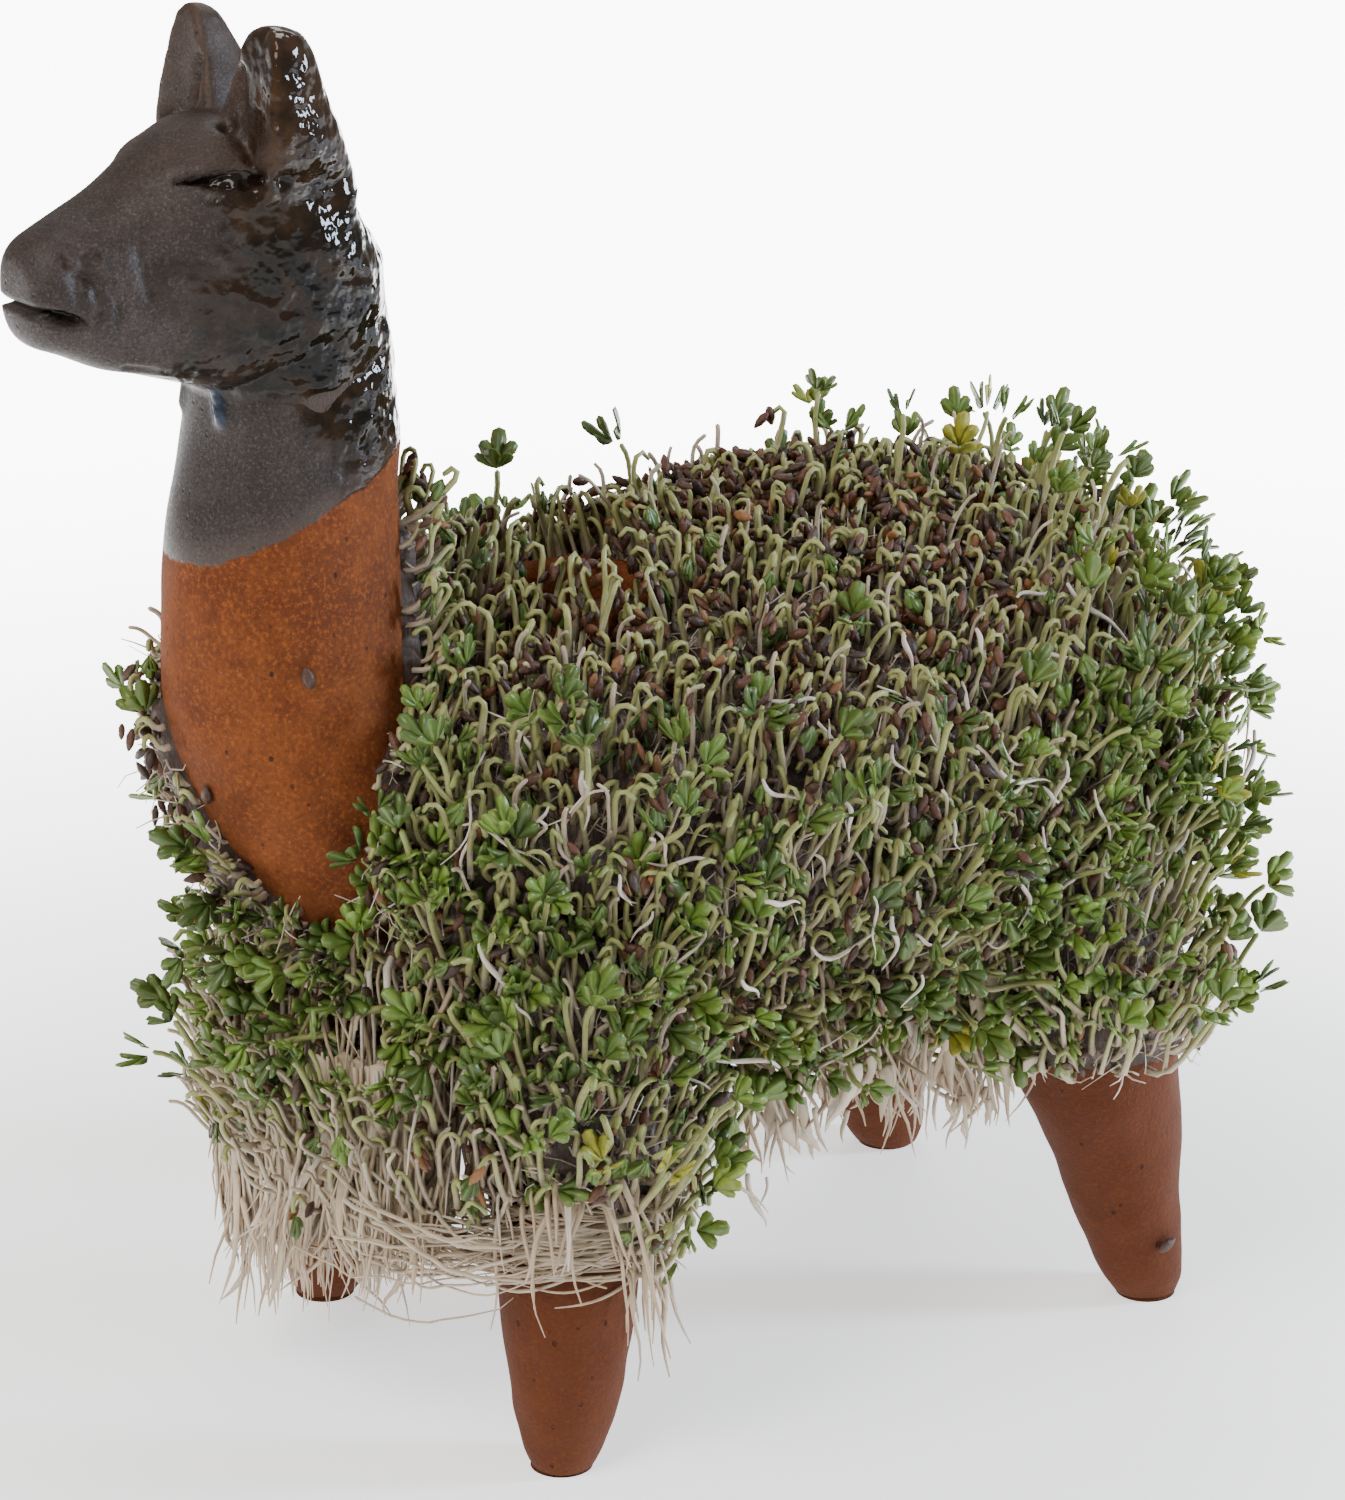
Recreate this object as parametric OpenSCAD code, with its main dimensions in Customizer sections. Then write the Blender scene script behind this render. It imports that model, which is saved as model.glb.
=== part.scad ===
// Llama planter: a hollow clay animal on four legs, watered through an opening in its back,
// with a glazed head and a living coat of cress sprouts on its unglazed body.
// Millimetres. +Z is up, the llama looks along -Y, and its left side is +X.
// The origin is on the table, under the middle of the whole object.

/* [Clay body] */
// Length of the body from chest to rump
body_len = 118; // [112:1:122]
// Width of the body across the flanks
body_w = 68; // [64:1:72]
// Height of the body from belly to back
body_rise = 62; // [59:1:65]
// Height of the lowest point of the belly above the table
belly_z = 38.5; // [36.5:0.5:40.5]
// Thickness of the clay wall
wall = 5; // [4:0.5:6.5]
// How far the back dips at the withers, behind the neck
saddle_dip = 5.5; // [4:0.5:7]

/* [Filling opening] */
// Diameter of the opening that the water goes in by
fill_d = 15; // [13:0.5:16]
// Thickness of the coil of clay round the opening
rim_w = 3.5; // [3:0.25:4]
// How far the coil stands above the back
rim_rise = 3.5; // [2.5:0.25:4.5]
// Distance from the middle of the feet forward to the opening
fill_ahead = 23.5; // [22:0.5:24.5]

/* [Neck] */
// Diameter of the neck just under the head
neck_top_d = 23.5; // [22:0.5:25.5]
// Diameter of the neck where it leaves the shoulders
neck_base_d = 31; // [29:0.5:33]
// Distance from the middle of the feet forward to the neck's axis
neck_ahead = 62; // [60:0.5:64]

/* [Head] */
// Height of the crown of the skull above the table
crown_z = 160; // [158:0.5:162]
// Distance from the middle of the feet forward to the tip of the nose
nose_ahead = 94.5; // [93:0.5:97]
// Length of the head from nose to nape
head_len = 43.5; // [42:0.5:45]
// Depth of the head from crown to jowl
head_rise = 31; // [29:0.5:33]
// Width of the head across the cheeks
head_w = 26; // [24:0.5:28]
// Height of the gap between the lips
mouth_gap = 1.8; // [1.4:0.1:2.2]
// Depth of the groove that parts the lips
mouth_depth = 2.4; // [1.8:0.2:3]
// Length of the slit of an eye
eye_len = 11; // [9.5:0.5:12]
// Height of the slit of an eye
eye_w = 2.8; // [2.2:0.2:3.2]
// Diameter of a nostril
nostril_d = 2.2; // [1.6:0.2:2.6]

/* [Ears] */
// Height of the ear tips above the table
ear_z = 170.5; // [168.5:0.5:172.5]
// Width of an ear at its root, across its open front
ear_w = 13.5; // [12.5:0.5:14.5]
// Thickness of an ear at its root, front to back
ear_t = 10; // [9:0.5:11]
// Depth of the hollow in an ear's front
ear_scoop = 2.6; // [2:0.2:3.2]
// Distance between the ear tips
ear_gap = 17.5; // [16:0.5:19]

/* [Legs] */
// Distance between the left and right feet, middle to middle
stance_w = 57; // [54:1:60]
// Distance between the front and rear feet, middle to middle
stance_len = 87.5; // [84:0.5:90]
// Diameter of a front leg where it leaves the body
front_leg_d = 19.5; // [18:0.5:21]
// Diameter of a rear leg where it leaves the body
rear_leg_d = 16; // [14.5:0.5:17.5]
// Diameter of the flat on each foot
sole_d = 7.5; // [6:0.25:8]
// How far the legs lean out sideways on their way down
leg_lean_x = 6; // [4:0.5:8]
// How far the front legs lean forward on their way down
front_lean = 6.5; // [5:0.5:8]
// How far the rear legs lean backward on their way down
rear_lean = 15; // [13:0.5:17]

/* [Sprouts] */
// Thickness of the mat of roots and seeds on the clay
mat_t = 2.4; // [2:0.2:3]
// Length of a sprout from the mat to the bend in its stem
stem_len = 6; // [5:0.25:7]
// Length of a sprout from the bend to its leaves
hook_len = 3.6; // [3:0.2:4.2]
// Diameter of a sprout's stem
stem_d = 1.2; // [1:0.1:1.4]
// Diameter of a sprout's leaves, folded round its seed
leaf_d = 2.8; // [2.2:0.2:3.2]
// Least distance between sprouts in a row
sprout_pitch = 4.2; // [4:0.2:6]
// Length of the roots that hang from the coat's lower edge
root_len = 17; // [15:0.5:19]

/* [Hidden] */
// Every piece, in the order that a potter adds them and the gardener after
$fn = 64;

// One overrun for every cut
over = 1;
// Left between the mat and a piece that it grows up to
mat_gap = 0.3;
// Left between the sprouts of one patch and the clay or mat beside it
sprout_gap = 1.5;

// The object's box reaches from the nose to the sprouts on the rump, and the origin is under its middle
body_ahead = 1.5;
rump_reach = body_len / 2 - body_ahead + mat_t + stem_len + hook_len / 2;
feet_y = (nose_ahead - rump_reach) / 2;

// Heights and places along the body
mid_z = belly_z + body_rise / 2;
body_y = feet_y - body_ahead;
fill_y = feet_y - fill_ahead;

// Roundness of the body's ends: 1 is an ellipsoid, less is fuller
end_fullness_share = 0.72;
// Half-angle of the flat left at each end of the body's skin
pole_angle = 4;
body_rows = 20;
body_cols = 30;
// The inside needs fewer facets
hollow_rows = 14;
hollow_cols = 24;

// Catmull-Rom curve through the rows of a table, at place t from 0 to 1
function spline_at(rows, t) =
    let (last = len(rows) - 1,
        i = max(0, min(floor(t * last), last - 1)),
        f = t * last - i,
        a = rows[max(i - 1, 0)],
        b = rows[i],
        c = rows[i + 1],
        d = rows[min(i + 2, last)])
    b + f * (c - a) / 2
    + f * f * (a - 2.5 * b + 2 * c - d / 2)
    + f * f * f * (1.5 * (b - c) + (d - a) / 2);

function unit(v) = v / norm(v);
function middle(points) = [for (p = points) 1] * points / len(points);
// A power that keeps the sign: below 1 it squares off an ellipse
function bulge(v, power) = sign(v) * pow(abs(v), power);

// Faces of a skin over rings of cols points each, with a flat at either end
function skin_faces(rows, cols) = concat(
    [[for (j = [cols - 1:-1:0]) j]],
    [for (i = [0:rows - 2], j = [0:cols - 1], side = [0, 1])
        let (here = i * cols + j, next = i * cols + (j + 1) % cols)
        side == 0 ? [here, next + cols, here + cols] : [here, next, next + cols]],
    [[for (j = [0:cols - 1]) (rows - 1) * cols + j]]);

// A closed solid over the grid of points that at(i, j) gives
module skin(at, rows, cols) {
    polyhedron(points = [for (i = [0:rows], j = [0:cols - 1]) at(i, j)], faces = skin_faces(rows + 1, cols));
}

// Body

// The back dips at the filling opening
saddle_spread = body_len / 7;
function back_half(y) = body_rise / 2 - saddle_dip * exp(-pow((y - fill_y) / saddle_spread, 2));

// A point of the body's skin: theta runs from chest to rump, phi round it from the left flank over the back
function body_point(theta, phi, grow) =
    let (s = pow(sin(theta), end_fullness_share),
        y = body_y - (body_len / 2 + grow) * cos(theta),
        half = (sin(phi) > 0 ? back_half(y) : body_rise / 2) + grow)
    [(body_w / 2 + grow) * s * cos(phi), y, mid_z + half * s * sin(phi)];

function body_grid(i, j, grow, rows = body_rows, cols = body_cols) =
    body_point(pole_angle + (180 - 2 * pole_angle) * i / rows, 360 * (j % cols) / cols, grow);

// More than 1 outside the body's skin grown by grow, less than 1 inside it
function body_level(p, grow) =
    let (along = (p.y - body_y) / (body_len / 2 + grow))
    abs(along) >= 1 ? 2
        : let (s = pow(sqrt(1 - along * along), end_fullness_share),
            half = (p.z > mid_z ? back_half(p.y) : body_rise / 2) + grow)
        norm([p.x / (body_w / 2 + grow), (p.z - mid_z) / half]) / s;

module body_form(grow) {
    skin(function (i, j) body_grid(i, j, grow), body_rows, body_cols);
}

module body_shell() {
    color("sienna")
        difference() {
            body_form(0);
            skin(function (i, j) body_grid(i, j, -wall, hollow_rows, hollow_cols), hollow_rows, hollow_cols);
            translate([0, fill_y, mid_z])
                cylinder(d = fill_d, h = body_rise);
        }
}

// Height of the clay at the opening, and of the top of the coil round it
fill_z = mid_z + back_half(fill_y);
rim_z = fill_z + rim_rise;

// A coil of clay pressed on round the opening, rounded at its lip
module fill_rim() {
    color("sienna")
        difference() {
            translate([0, fill_y, 0])
                rotate_extrude($fn = 40) {
                    translate([fill_d / 2, fill_z - body_rise / 4])
                        square([rim_w, body_rise / 4 + rim_rise - rim_w / 2]);
                    translate([fill_d / 2 + rim_w / 2, rim_z - rim_w / 2])
                        circle(d = rim_w, $fn = 20);
                }
            body_form(0);
        }
}

// Legs

// Height at which the legs are lost in the body
leg_top_z = mid_z;
leg_rows = 12;
leg_cols = 20;
// A front leg is a blunt cone up to the shoulder: share of its height, and share of its radius there
front_leg_shares = [[0, 0.38], [0.02, 0.46], [0.05, 0.54], [0.12, 0.66], [0.25, 0.81], [0.4, 0.9], [0.55, 1],
    [0.75, 0.92], [1, 0.42]];
// A rear leg is slimmer, and swells where it joins the haunch
rear_leg_shares = [[0, 0.47], [0.02, 0.57], [0.05, 0.68], [0.12, 0.8], [0.21, 0.89], [0.32, 1.08],
    [0.44, 1.3], [0.6, 1.4], [0.8, 1.2], [1, 0.5]];

// Each leg: its side, its end, its diameter, its lean lengthwise and its shares
front_left = [1, -1, front_leg_d, front_lean, front_leg_shares];
front_right = [-1, -1, front_leg_d, front_lean, front_leg_shares];
rear_left = [1, 1, rear_leg_d, rear_lean, rear_leg_shares];
rear_right = [-1, 1, rear_leg_d, rear_lean, rear_leg_shares];

function leg_axis(leg, rise) = [
    leg[0] * (stance_w / 2 - leg_lean_x * rise),
    feet_y + leg[1] * (stance_len / 2 - leg[3] * rise),
    leg_top_z * rise];

function leg_grid(leg, i, j, grow) =
    let (at = spline_at(leg[4], i / leg_rows),
        r = (i == 0 ? sole_d / 2 : at[1] * leg[2] / 2) + grow,
        angle = 360 * (j % leg_cols) / leg_cols)
    leg_axis(leg, at[0]) + r * [cos(angle), -sin(angle), 0];

function clear_of_leg(p, leg, gap) =
    let (rise = p.z / leg_top_z,
        off = p - leg_axis(leg, rise))
    norm([off.x, off.y]) > lookup(rise, leg[4]) * leg[2] / 2 + gap;

function clear_of_legs(p, gap) =
    p.z > leg_top_z
    || clear_of_leg(p, p.x > 0 ? front_left : front_right, gap)
        && clear_of_leg(p, p.x > 0 ? rear_left : rear_right, gap);

module leg(leg) {
    color("saddlebrown")
        difference() {
            skin(function (i, j) leg_grid(leg, i, j, 0), leg_rows, leg_cols);
            body_form(0);
        }
}

module front_left_leg() leg(front_left);
module front_right_leg() leg(front_right);
module rear_left_leg() leg(rear_left);
module rear_right_leg() leg(rear_right);

// Neck

neck_foot_z = mid_z - body_rise / 3;
neck_top_z = crown_z - head_rise * 0.6;
neck_rows = 18;
neck_cols = 24;
// Up the neck: share of its height, of how far its axis has come forward, and of its swell from top to base
neck_shares = [[0, 0.62, -0.9], [0.06, 0.7, 0.1], [0.14, 0.78, 0.75], [0.24, 0.87, 1.05], [0.34, 0.94, 0.95],
    [0.46, 1, 0.68], [0.58, 1.012, 0.52], [0.7, 1.005, 0.31], [0.8, 0.985, 0.1], [0.9, 0.985, -0.02],
    [1, 1, -0.05]];
neck_axis_shares = [for (at = neck_shares) [at[0], at[1]]];
neck_swell_shares = [for (at = neck_shares) [at[0], at[2]]];

function neck_r(swell) = (neck_top_d + swell * (neck_base_d - neck_top_d)) / 2;

// psi runs round the neck from its front towards the left flank
function neck_grid(i, j, grow) =
    let (at = spline_at(neck_shares, i / neck_rows),
        psi = -360 * (j % neck_cols) / neck_cols,
        r = neck_r(at[2]) + grow)
    [r * sin(psi),
        feet_y - neck_ahead * at[1] - r * cos(psi),
        neck_foot_z + at[0] * (neck_top_z - neck_foot_z)];

function clear_of_neck(p, gap) =
    let (rise = (p.z - neck_foot_z) / (neck_top_z - neck_foot_z),
        axis_y = feet_y - neck_ahead * lookup(rise, neck_axis_shares))
    p.z < neck_foot_z || norm([p.x, p.y - axis_y]) > neck_r(lookup(rise, neck_swell_shares)) + gap;

module neck_form() {
    skin(function (i, j) neck_grid(i, j, 0), neck_rows, neck_cols);
}

module neck() {
    color("sienna")
        difference() {
            neck_form();
            body_form(0);
            head_form(0);
        }
}

// Head

nose_y = feet_y - nose_ahead;
jowl_z = crown_z - head_rise;
head_rows = 18;
head_cols = 28;
// The head's cross-section is a squared ellipse
head_power = 0.8;
// From nose to nape: share of the length, and shares of the half-width, the top and the bottom above the jowl
head_shares = [[0, 0.24, 0.56, 0.3], [0.03, 0.4, 0.62, 0.26], [0.1, 0.5, 0.68, 0.22],
    [0.22, 0.58, 0.77, 0.15], [0.32, 0.66, 0.86, 0.105], [0.42, 0.78, 0.95, 0.065],
    [0.54, 0.92, 1, 0.02], [0.68, 1, 0.95, 0], [0.82, 0.96, 0.81, 0.03],
    [0.93, 0.77, 0.63, 0.14], [1, 0.42, 0.48, 0.28]];

function head_point(along, phi, grow) =
    let (at = spline_at(head_shares, along),
        mid = (at[2] + at[3]) / 2,
        half = (at[2] - at[3]) / 2)
    [(at[1] * head_w / 2 + grow) * bulge(cos(phi), head_power),
        nose_y - grow + at[0] * (head_len + 2 * grow),
        jowl_z + mid * head_rise + (half * head_rise + grow) * bulge(sin(phi), head_power)];

module head_form(grow) {
    skin(function (i, j) head_point(i / head_rows, 360 * j / head_cols, grow), head_rows, head_cols);
}

// A groove round the snout, widest in front
mouth_len = mouth_depth * 2.7;
mouth_z = jowl_z + head_rise * 0.41;
mouth_drop = mouth_gap;
module mouth() {
    difference() {
        rotate([90, 0, 90])
            linear_extrude(height = head_w, center = true)
                polygon([
                    [nose_y - over, mouth_z + mouth_gap / 2],
                    [nose_y + mouth_len, mouth_z - mouth_drop],
                    [nose_y - over, mouth_z - mouth_gap / 2]]);
        head_form(-mouth_depth);
    }
}

// Places of the eyes and nostrils on the head: share of the way to the nape, and angle above the horizontal
eye_share = 0.55;
eye_angle = 39;
nostril_share = 0.21;
nostril_angle = 12;
// How far an eye's rear corner stands out from its front one, as an angle
eye_turn_angle = 28;

// A long lens, cut half its height into the head and turned to follow the cheek
module eye_slit() {
    r = (eye_len * eye_len / 4 + eye_w * eye_w / 4) / eye_w;
    translate(head_point(eye_share, eye_angle, 0))
        rotate([90, 0, -eye_turn_angle])
            rotate_extrude($fn = 20)
                intersection() {
                    translate([eye_w / 2 - r, 0])
                        circle(r = r, $fn = 48);
                    translate([0, -eye_len / 2])
                        square([eye_w / 2, eye_len]);
                }
}

module nostril() {
    translate(head_point(nostril_share, nostril_angle, 0))
        sphere(d = nostril_d, $fn = 20);
}

module head() {
    color("#3a2f2b")
        difference() {
            head_form(0);
            mouth();
            for (side = [0, 1])
                mirror([side, 0, 0]) {
                    eye_slit();
                    nostril();
                }
        }
}

// Ears

ear_rows = 9;
ear_cols = 18;
// The roots sink into the skull
ear_foot_z = crown_z - head_rise / 4;
// Share of the way from nose to nape at which the ears' front edges stand
ear_share = 0.58;
ear_y = nose_y + ear_share * head_len;
// How far an ear leans back up to its tip
ear_lean = ear_t / 6;
// Thickness of the rolled edge beside the hollow
ear_lip = ear_scoop / 3;
// Up an ear: share of its height, of its width and thickness, and of the way its middle moves to the tip
ear_shares = [[0, 0.6, 0], [0.15, 0.9, 0.02], [0.31, 1, 0.12], [0.5, 0.88, 0.3], [0.7, 0.7, 0.56],
    [0.87, 0.49, 0.83], [1, 0.26, 1]];
// Half the width of an ear at its widest, beside the middle of the head
ear_half = ear_w / 2;

// A thick leaf, hollow in front and round behind
function ear_point(side, i, j) =
    let (at = spline_at(ear_shares, i / ear_rows),
        angle = 360 * j / ear_cols,
        front = ear_lip * abs(sin(2 * angle)) - ear_scoop * pow(sin(angle), 4),
        depth = at[1] * (sin(angle) > 0 ? front : ear_t * sin(angle)),
        foot_x = ear_half + mat_gap,
        x = foot_x + at[2] * (ear_gap / 2 - foot_x))
    [side * x + at[1] * ear_half * cos(angle),
        ear_y + at[0] * ear_lean - depth,
        ear_foot_z + at[0] * (ear_z - ear_foot_z)];

module ear(side) {
    color("#3a2f2b")
        difference() {
            skin(function (i, j) ear_point(side, i, j), ear_rows, ear_cols);
            head_form(0);
        }
}

module left_ear() ear(1);
module right_ear() ear(-1);

// Living coat
//
// Each patch of coat is one closed solid over cells of the grid that the clay's own skin is made on.
// A cell is a block of mat between the clay and the mat's outer face. Where a sprout is rooted, the
// face is opened round a small triangle, and the sprout's three-sided stem is drawn out of it,
// bends at its elbow, swells to its folded leaves and ends in a point.

up = [0, 0, 1];

function ring(centre, along, towards, r) =
    let (v = unit(along),
        a = unit(towards - (towards * v) * v),
        b = cross(v, a))
    [for (k = [0:2]) centre + r * (cos(120 * k) * a - sin(120 * k) * b)];

// Corners of a cell, clockwise seen from outside
function corners(at, i, j, grow) = [
    at(i, j, grow),
    at(i, j + 1, grow),
    at(i + 1, j + 1, grow),
    at(i + 1, j, grow)];

// Outward direction of a cell's face
function cell_normal(face) = unit(cross(face[3] - face[1], face[2] - face[0]));

// A seeded wobble of up to 1 each way
function wobble(i, j) = rands(-1, 1, 3, 100 * i + j);

// Elbow and tip of a sprout rooted at a point: it turns up to the light, then nods over
function sprout_joints(root, normal, wob) =
    let (rise = unit(normal + 0.55 * up + 0.12 * wob),
        nod = unit(0.7 * rise + 0.75 * unit(normal + 0.6 * wob)))
    [root + stem_len * rise, root + stem_len * rise + hook_len * nod];

// Elbow and tip of a root that leaves the mat's lower edge and hangs
function root_joints(root, normal, wob) =
    let (bend = root + stem_len / 3 * unit(normal - 0.7 * up + 0.1 * wob))
    [bend, bend + root_len * unit(0.07 * normal - up + 0.07 * wob)];

// The ten points of a sprout: root ring, elbow ring, leaf ring and tip
function strand_points(face, joints, leaf_at, leaf_r) =
    let (root = middle(face),
        normal = cell_normal(face),
        towards = face[0] - root,
        leaf = joints[0] + leaf_at * (joints[1] - joints[0]))
    concat(
        ring(root, normal, towards, stem_d / 2),
        ring(joints[0], joints[1] - root, towards, stem_d / 2),
        ring(leaf, joints[1] - joints[0], towards, leaf_r),
        [joints[1]]);

// Two triangles for each side of a stem's run from one ring to the next
function run_faces(base) = [for (k = [0:2], half = [0, 1])
    let (a = base + k, b = base + (k + 1) % 3)
    half == 0 ? [a, b, b + 3] : [a, b + 3, a + 3]];

// Mat face opened round the root ring at base, whose outer corners start at cell
function open_faces(cell, base) = [
    [cell, cell + 1, base + 1], [cell, base + 1, base],
    [cell + 1, cell + 2, base + 1], [cell + 2, base + 2, base + 1],
    [cell + 2, cell + 3, base + 2],
    [cell + 3, cell, base], [cell + 3, base, base + 2]];

// A patch over the cells that kept(i, j) names, with sprouts where rooted(i, j) says
module patch(at, rows, cols, kept, rooted, hanging = false) {
    raw = [for (i = [0:rows - 1]) [for (j = [0:cols - 1]) kept(i, j)]];
    // Two cells that would meet at no more than a corner don't both stay
    mask = [for (i = [0:rows - 1]) [for (j = [0:cols - 1])
        raw[i][j] && (i == rows - 1 || raw[i + 1][j] || !(
            raw[i + 1][(j + 1) % cols] && !raw[i][(j + 1) % cols]
            || raw[i + 1][(j + cols - 1) % cols] && !raw[i][(j + cols - 1) % cols]))]];
    planted = [for (i = [0:rows - 1], j = [0:cols - 1]) if (mask[i][j] && rooted(i, j)) [i, j]];
    bare = [for (i = [0:rows - 1], j = [0:cols - 1]) if (mask[i][j] && !rooted(i, j)) [i, j]];
    cells = concat(planted, bare);
    strands = 8 * len(cells);
    polyhedron(
        points = concat(
            [for (c = cells) each concat(corners(at, c[0], c[1], 0), corners(at, c[0], c[1], mat_t))],
            [for (c = planted)
                let (face = corners(at, c[0], c[1], mat_t),
                    joints = hanging
                        ? root_joints(middle(face), cell_normal(face), wobble(c[0], c[1]))
                        : sprout_joints(middle(face), cell_normal(face), wobble(c[0], c[1])))
                each strand_points(face, joints, hanging ? 0.6 : 0.5, hanging ? stem_d / 3 : leaf_d / 2)]),
        faces = concat(
            [for (m = [0:len(cells) - 1])
                let (i = cells[m][0],
                    j = cells[m][1],
                    a = 8 * m,
                    b = a + 4,
                    walls = [
                        if (i == 0 || !mask[i - 1][j]) 0,
                        if (!mask[i][(j + 1) % cols]) 1,
                        if (i == rows - 1 || !mask[i + 1][j]) 2,
                        if (!mask[i][(j + cols - 1) % cols]) 3])
                each concat(
                    [[a + 3, a + 2, a], [a + 2, a + 1, a]],
                    m < len(planted)
                        ? open_faces(b, strands + 10 * m)
                        : [[b, b + 1, b + 2], [b, b + 2, b + 3]],
                    [for (w = walls, half = [0, 1])
                        let (next = (w + 1) % 4)
                        half == 0 ? [b + next, b + w, a + w] : [b + next, a + w, a + next]])],
            [for (m = [0:len(planted) - 1])
                let (base = strands + 10 * m)
                each concat(
                    run_faces(base),
                    run_faces(base + 3),
                    [for (k = [0:2]) [base + 6 + k, base + 6 + (k + 1) % 3, base + 9]])]));
}

// Every corner of a cell, at the clay and at the mat's face, is clear of what clear(p) tests
function cell_clear(at, i, j, clear) =
    let (good = [for (grow = [0, mat_t], p = corners(at, i, j, grow)) if (clear(p)) 1])
    len(good) == 8;

// Body coat

function clear_of_rim(p, gap) = p.z < mid_z || norm([p.x, p.y - fill_y]) > fill_d / 2 + rim_w + gap;
function clear_of_clay(p, gap) = clear_of_legs(p, gap) && clear_of_neck(p, gap) && clear_of_rim(p, gap);
body_at = function (i, j, grow) body_grid(i, j, grow);

// Columns counted both ways from the middle of the left flank: the coat ends this far below it
hem_cols = 4;
function column(j) = j > body_cols * 0.7 ? j - body_cols : j;
// Columns away from the ridge of the back, on either side
function from_ridge(j) = abs(column(j) - (body_cols / 4 - 0.5));
flank_cols = body_cols / 4 + hem_cols;
hem_from = flank_cols - 1;

function body_coated(i, j) =
    (from_ridge(j) < flank_cols || i >= rump_row || i < chest_row)
    && cell_clear(body_at, i, j, function (p) clear_of_clay(p, mat_gap));

// A sprout stands where its cell is wide enough and it is clear of the clay beside it
function body_rooted(i, j) =
    let (face = corners(body_at, i, j, mat_t),
        step = max(1, ceil(sprout_pitch / norm(face[1] - face[0] + face[2] - face[3]) * 2)),
        joints = sprout_joints(middle(face), cell_normal(face), wobble(i, j)))
    (j + i) % step == 0 && wobble(i, j).x < 0.8
    && clear_of_clay(joints[0], sprout_gap) && clear_of_clay(joints[1], sprout_gap);

// Rows at which the patches meet: behind the filling opening, and at the rump
function row_of(y) =
    let (theta = acos((body_y - y) / (body_len / 2)))
    round((theta - pole_angle) * body_rows / (180 - 2 * pole_angle));
back_row = row_of(fill_y + fill_d / 2 + rim_w);
withers_row = row_of(fill_y - fill_d / 2 - rim_w);
rump_row = body_rows - 3;
chest_row = 6;
// Columns on either side of the ridge that belong to the back
back_cols = 3;

module body_patch(inside, hanging = false) {
    color(hanging ? "wheat" : "olivedrab")
        patch(body_at, body_rows, body_cols,
            function (i, j) inside(i, j) && body_coated(i, j),
            function (i, j) hanging || body_rooted(i, j),
            hanging);
}

function on_hem(j) = from_ridge(j) >= hem_from;
on_chest = function (i, j) on_hem(j) && i < chest_row;
function on_back(i, j) = from_ridge(j) < back_cols && (i >= back_row || i < withers_row);
function on_left(j) = column(j) < body_cols / 4;

module left_flank_sprouts()
    body_patch(function (i, j) on_left(j) && i < rump_row && !on_hem(j) && !on_back(i, j));
module right_flank_sprouts()
    body_patch(function (i, j) !on_left(j) && i < rump_row && !on_hem(j) && !on_back(i, j));
module back_sprouts() body_patch(function (i, j) on_back(i, j) && i >= back_row && i < rump_row);
module withers_sprouts() body_patch(function (i, j) on_back(i, j) && i < withers_row);
module rump_sprouts() body_patch(function (i, j) i >= rump_row);
module chest_roots() body_patch(on_chest, true);
module left_hanging_roots()
    body_patch(function (i, j) on_left(j) && i < rump_row && on_hem(j) && !on_chest(i, j), true);
module right_hanging_roots()
    body_patch(function (i, j) !on_left(j) && i < rump_row && on_hem(j) && !on_chest(i, j), true);

// Neck coat

neck_at = function (i, j, grow) neck_grid(i, j, grow);
// The bare bib: angle round the neck from its front towards the left flank, and share of the neck's
// height up to which the coat climbs there
coat_shares = [[-180, 0.69], [-147, 0.66], [-130, 0.56], [-100, 0.53], [-60, 0.51], [-33, 0.5], [-15, 0.44],
    [0, 0.33], [25, 0.2], [57, 0.1], [75, 0.28], [100, 0.42], [130, 0.48], [147, 0.68], [180, 0.69]];

// The middle of column j, as an angle from -180 to 180
function neck_psi(j) = let (turn = -360 * (j + 0.5) / neck_cols) turn < -180 ? turn + 360 : turn;
function neck_coated(i, j) =
    spline_at(neck_shares, (i + 1) / neck_rows)[0] <= lookup(neck_psi(j), coat_shares)
    && cell_clear(neck_at, i, j, function (p) body_level(p, mat_t + mat_gap) > 1);
function neck_rooted(i, j) =
    let (face = corners(neck_at, i, j, mat_t),
        joints = sprout_joints(middle(face), cell_normal(face), wobble(i, j)))
    (i + j) % 2 == 0 && body_level(joints[1], mat_t + stem_len + hook_len) > 1;

module neck_patch(inside) {
    color("olivedrab")
        patch(neck_at, neck_rows, neck_cols,
            function (i, j) inside(i, j) && neck_coated(i, j),
            function (i, j) neck_rooted(i, j));
}

// The patches meet beside the neck
collar_angle = 75;
module chest_sprouts() neck_patch(function (i, j) abs(neck_psi(j)) < collar_angle);
module collar_sprouts() neck_patch(function (i, j) abs(neck_psi(j)) >= collar_angle);

// Coat on the front legs

// The coat comes down to this share of the legs' height, on the columns that face out
leg_coat_share = 0.42;
function leg_coated(leg, i, j) =
    spline_at(leg[4], i / leg_rows)[0] >= leg_coat_share
    && leg[0] * cos(360 * (j + 0.5) / leg_cols) > 0.4
    && cell_clear(function (a, b, grow) leg_grid(leg, a, b, grow), i, j,
        function (p) body_level(p, mat_t + mat_gap) > 1 && clear_of_neck(p, mat_t + mat_gap));

module leg_patch(leg) {
    color("olivedrab")
        patch(function (i, j, grow) leg_grid(leg, i, j, grow), leg_rows, leg_cols,
            function (i, j) leg_coated(leg, i, j),
            function (i, j) (i + j) % 2 == 0);
}

module left_leg_sprouts() leg_patch(front_left);
module right_leg_sprouts() leg_patch(front_right);

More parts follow.
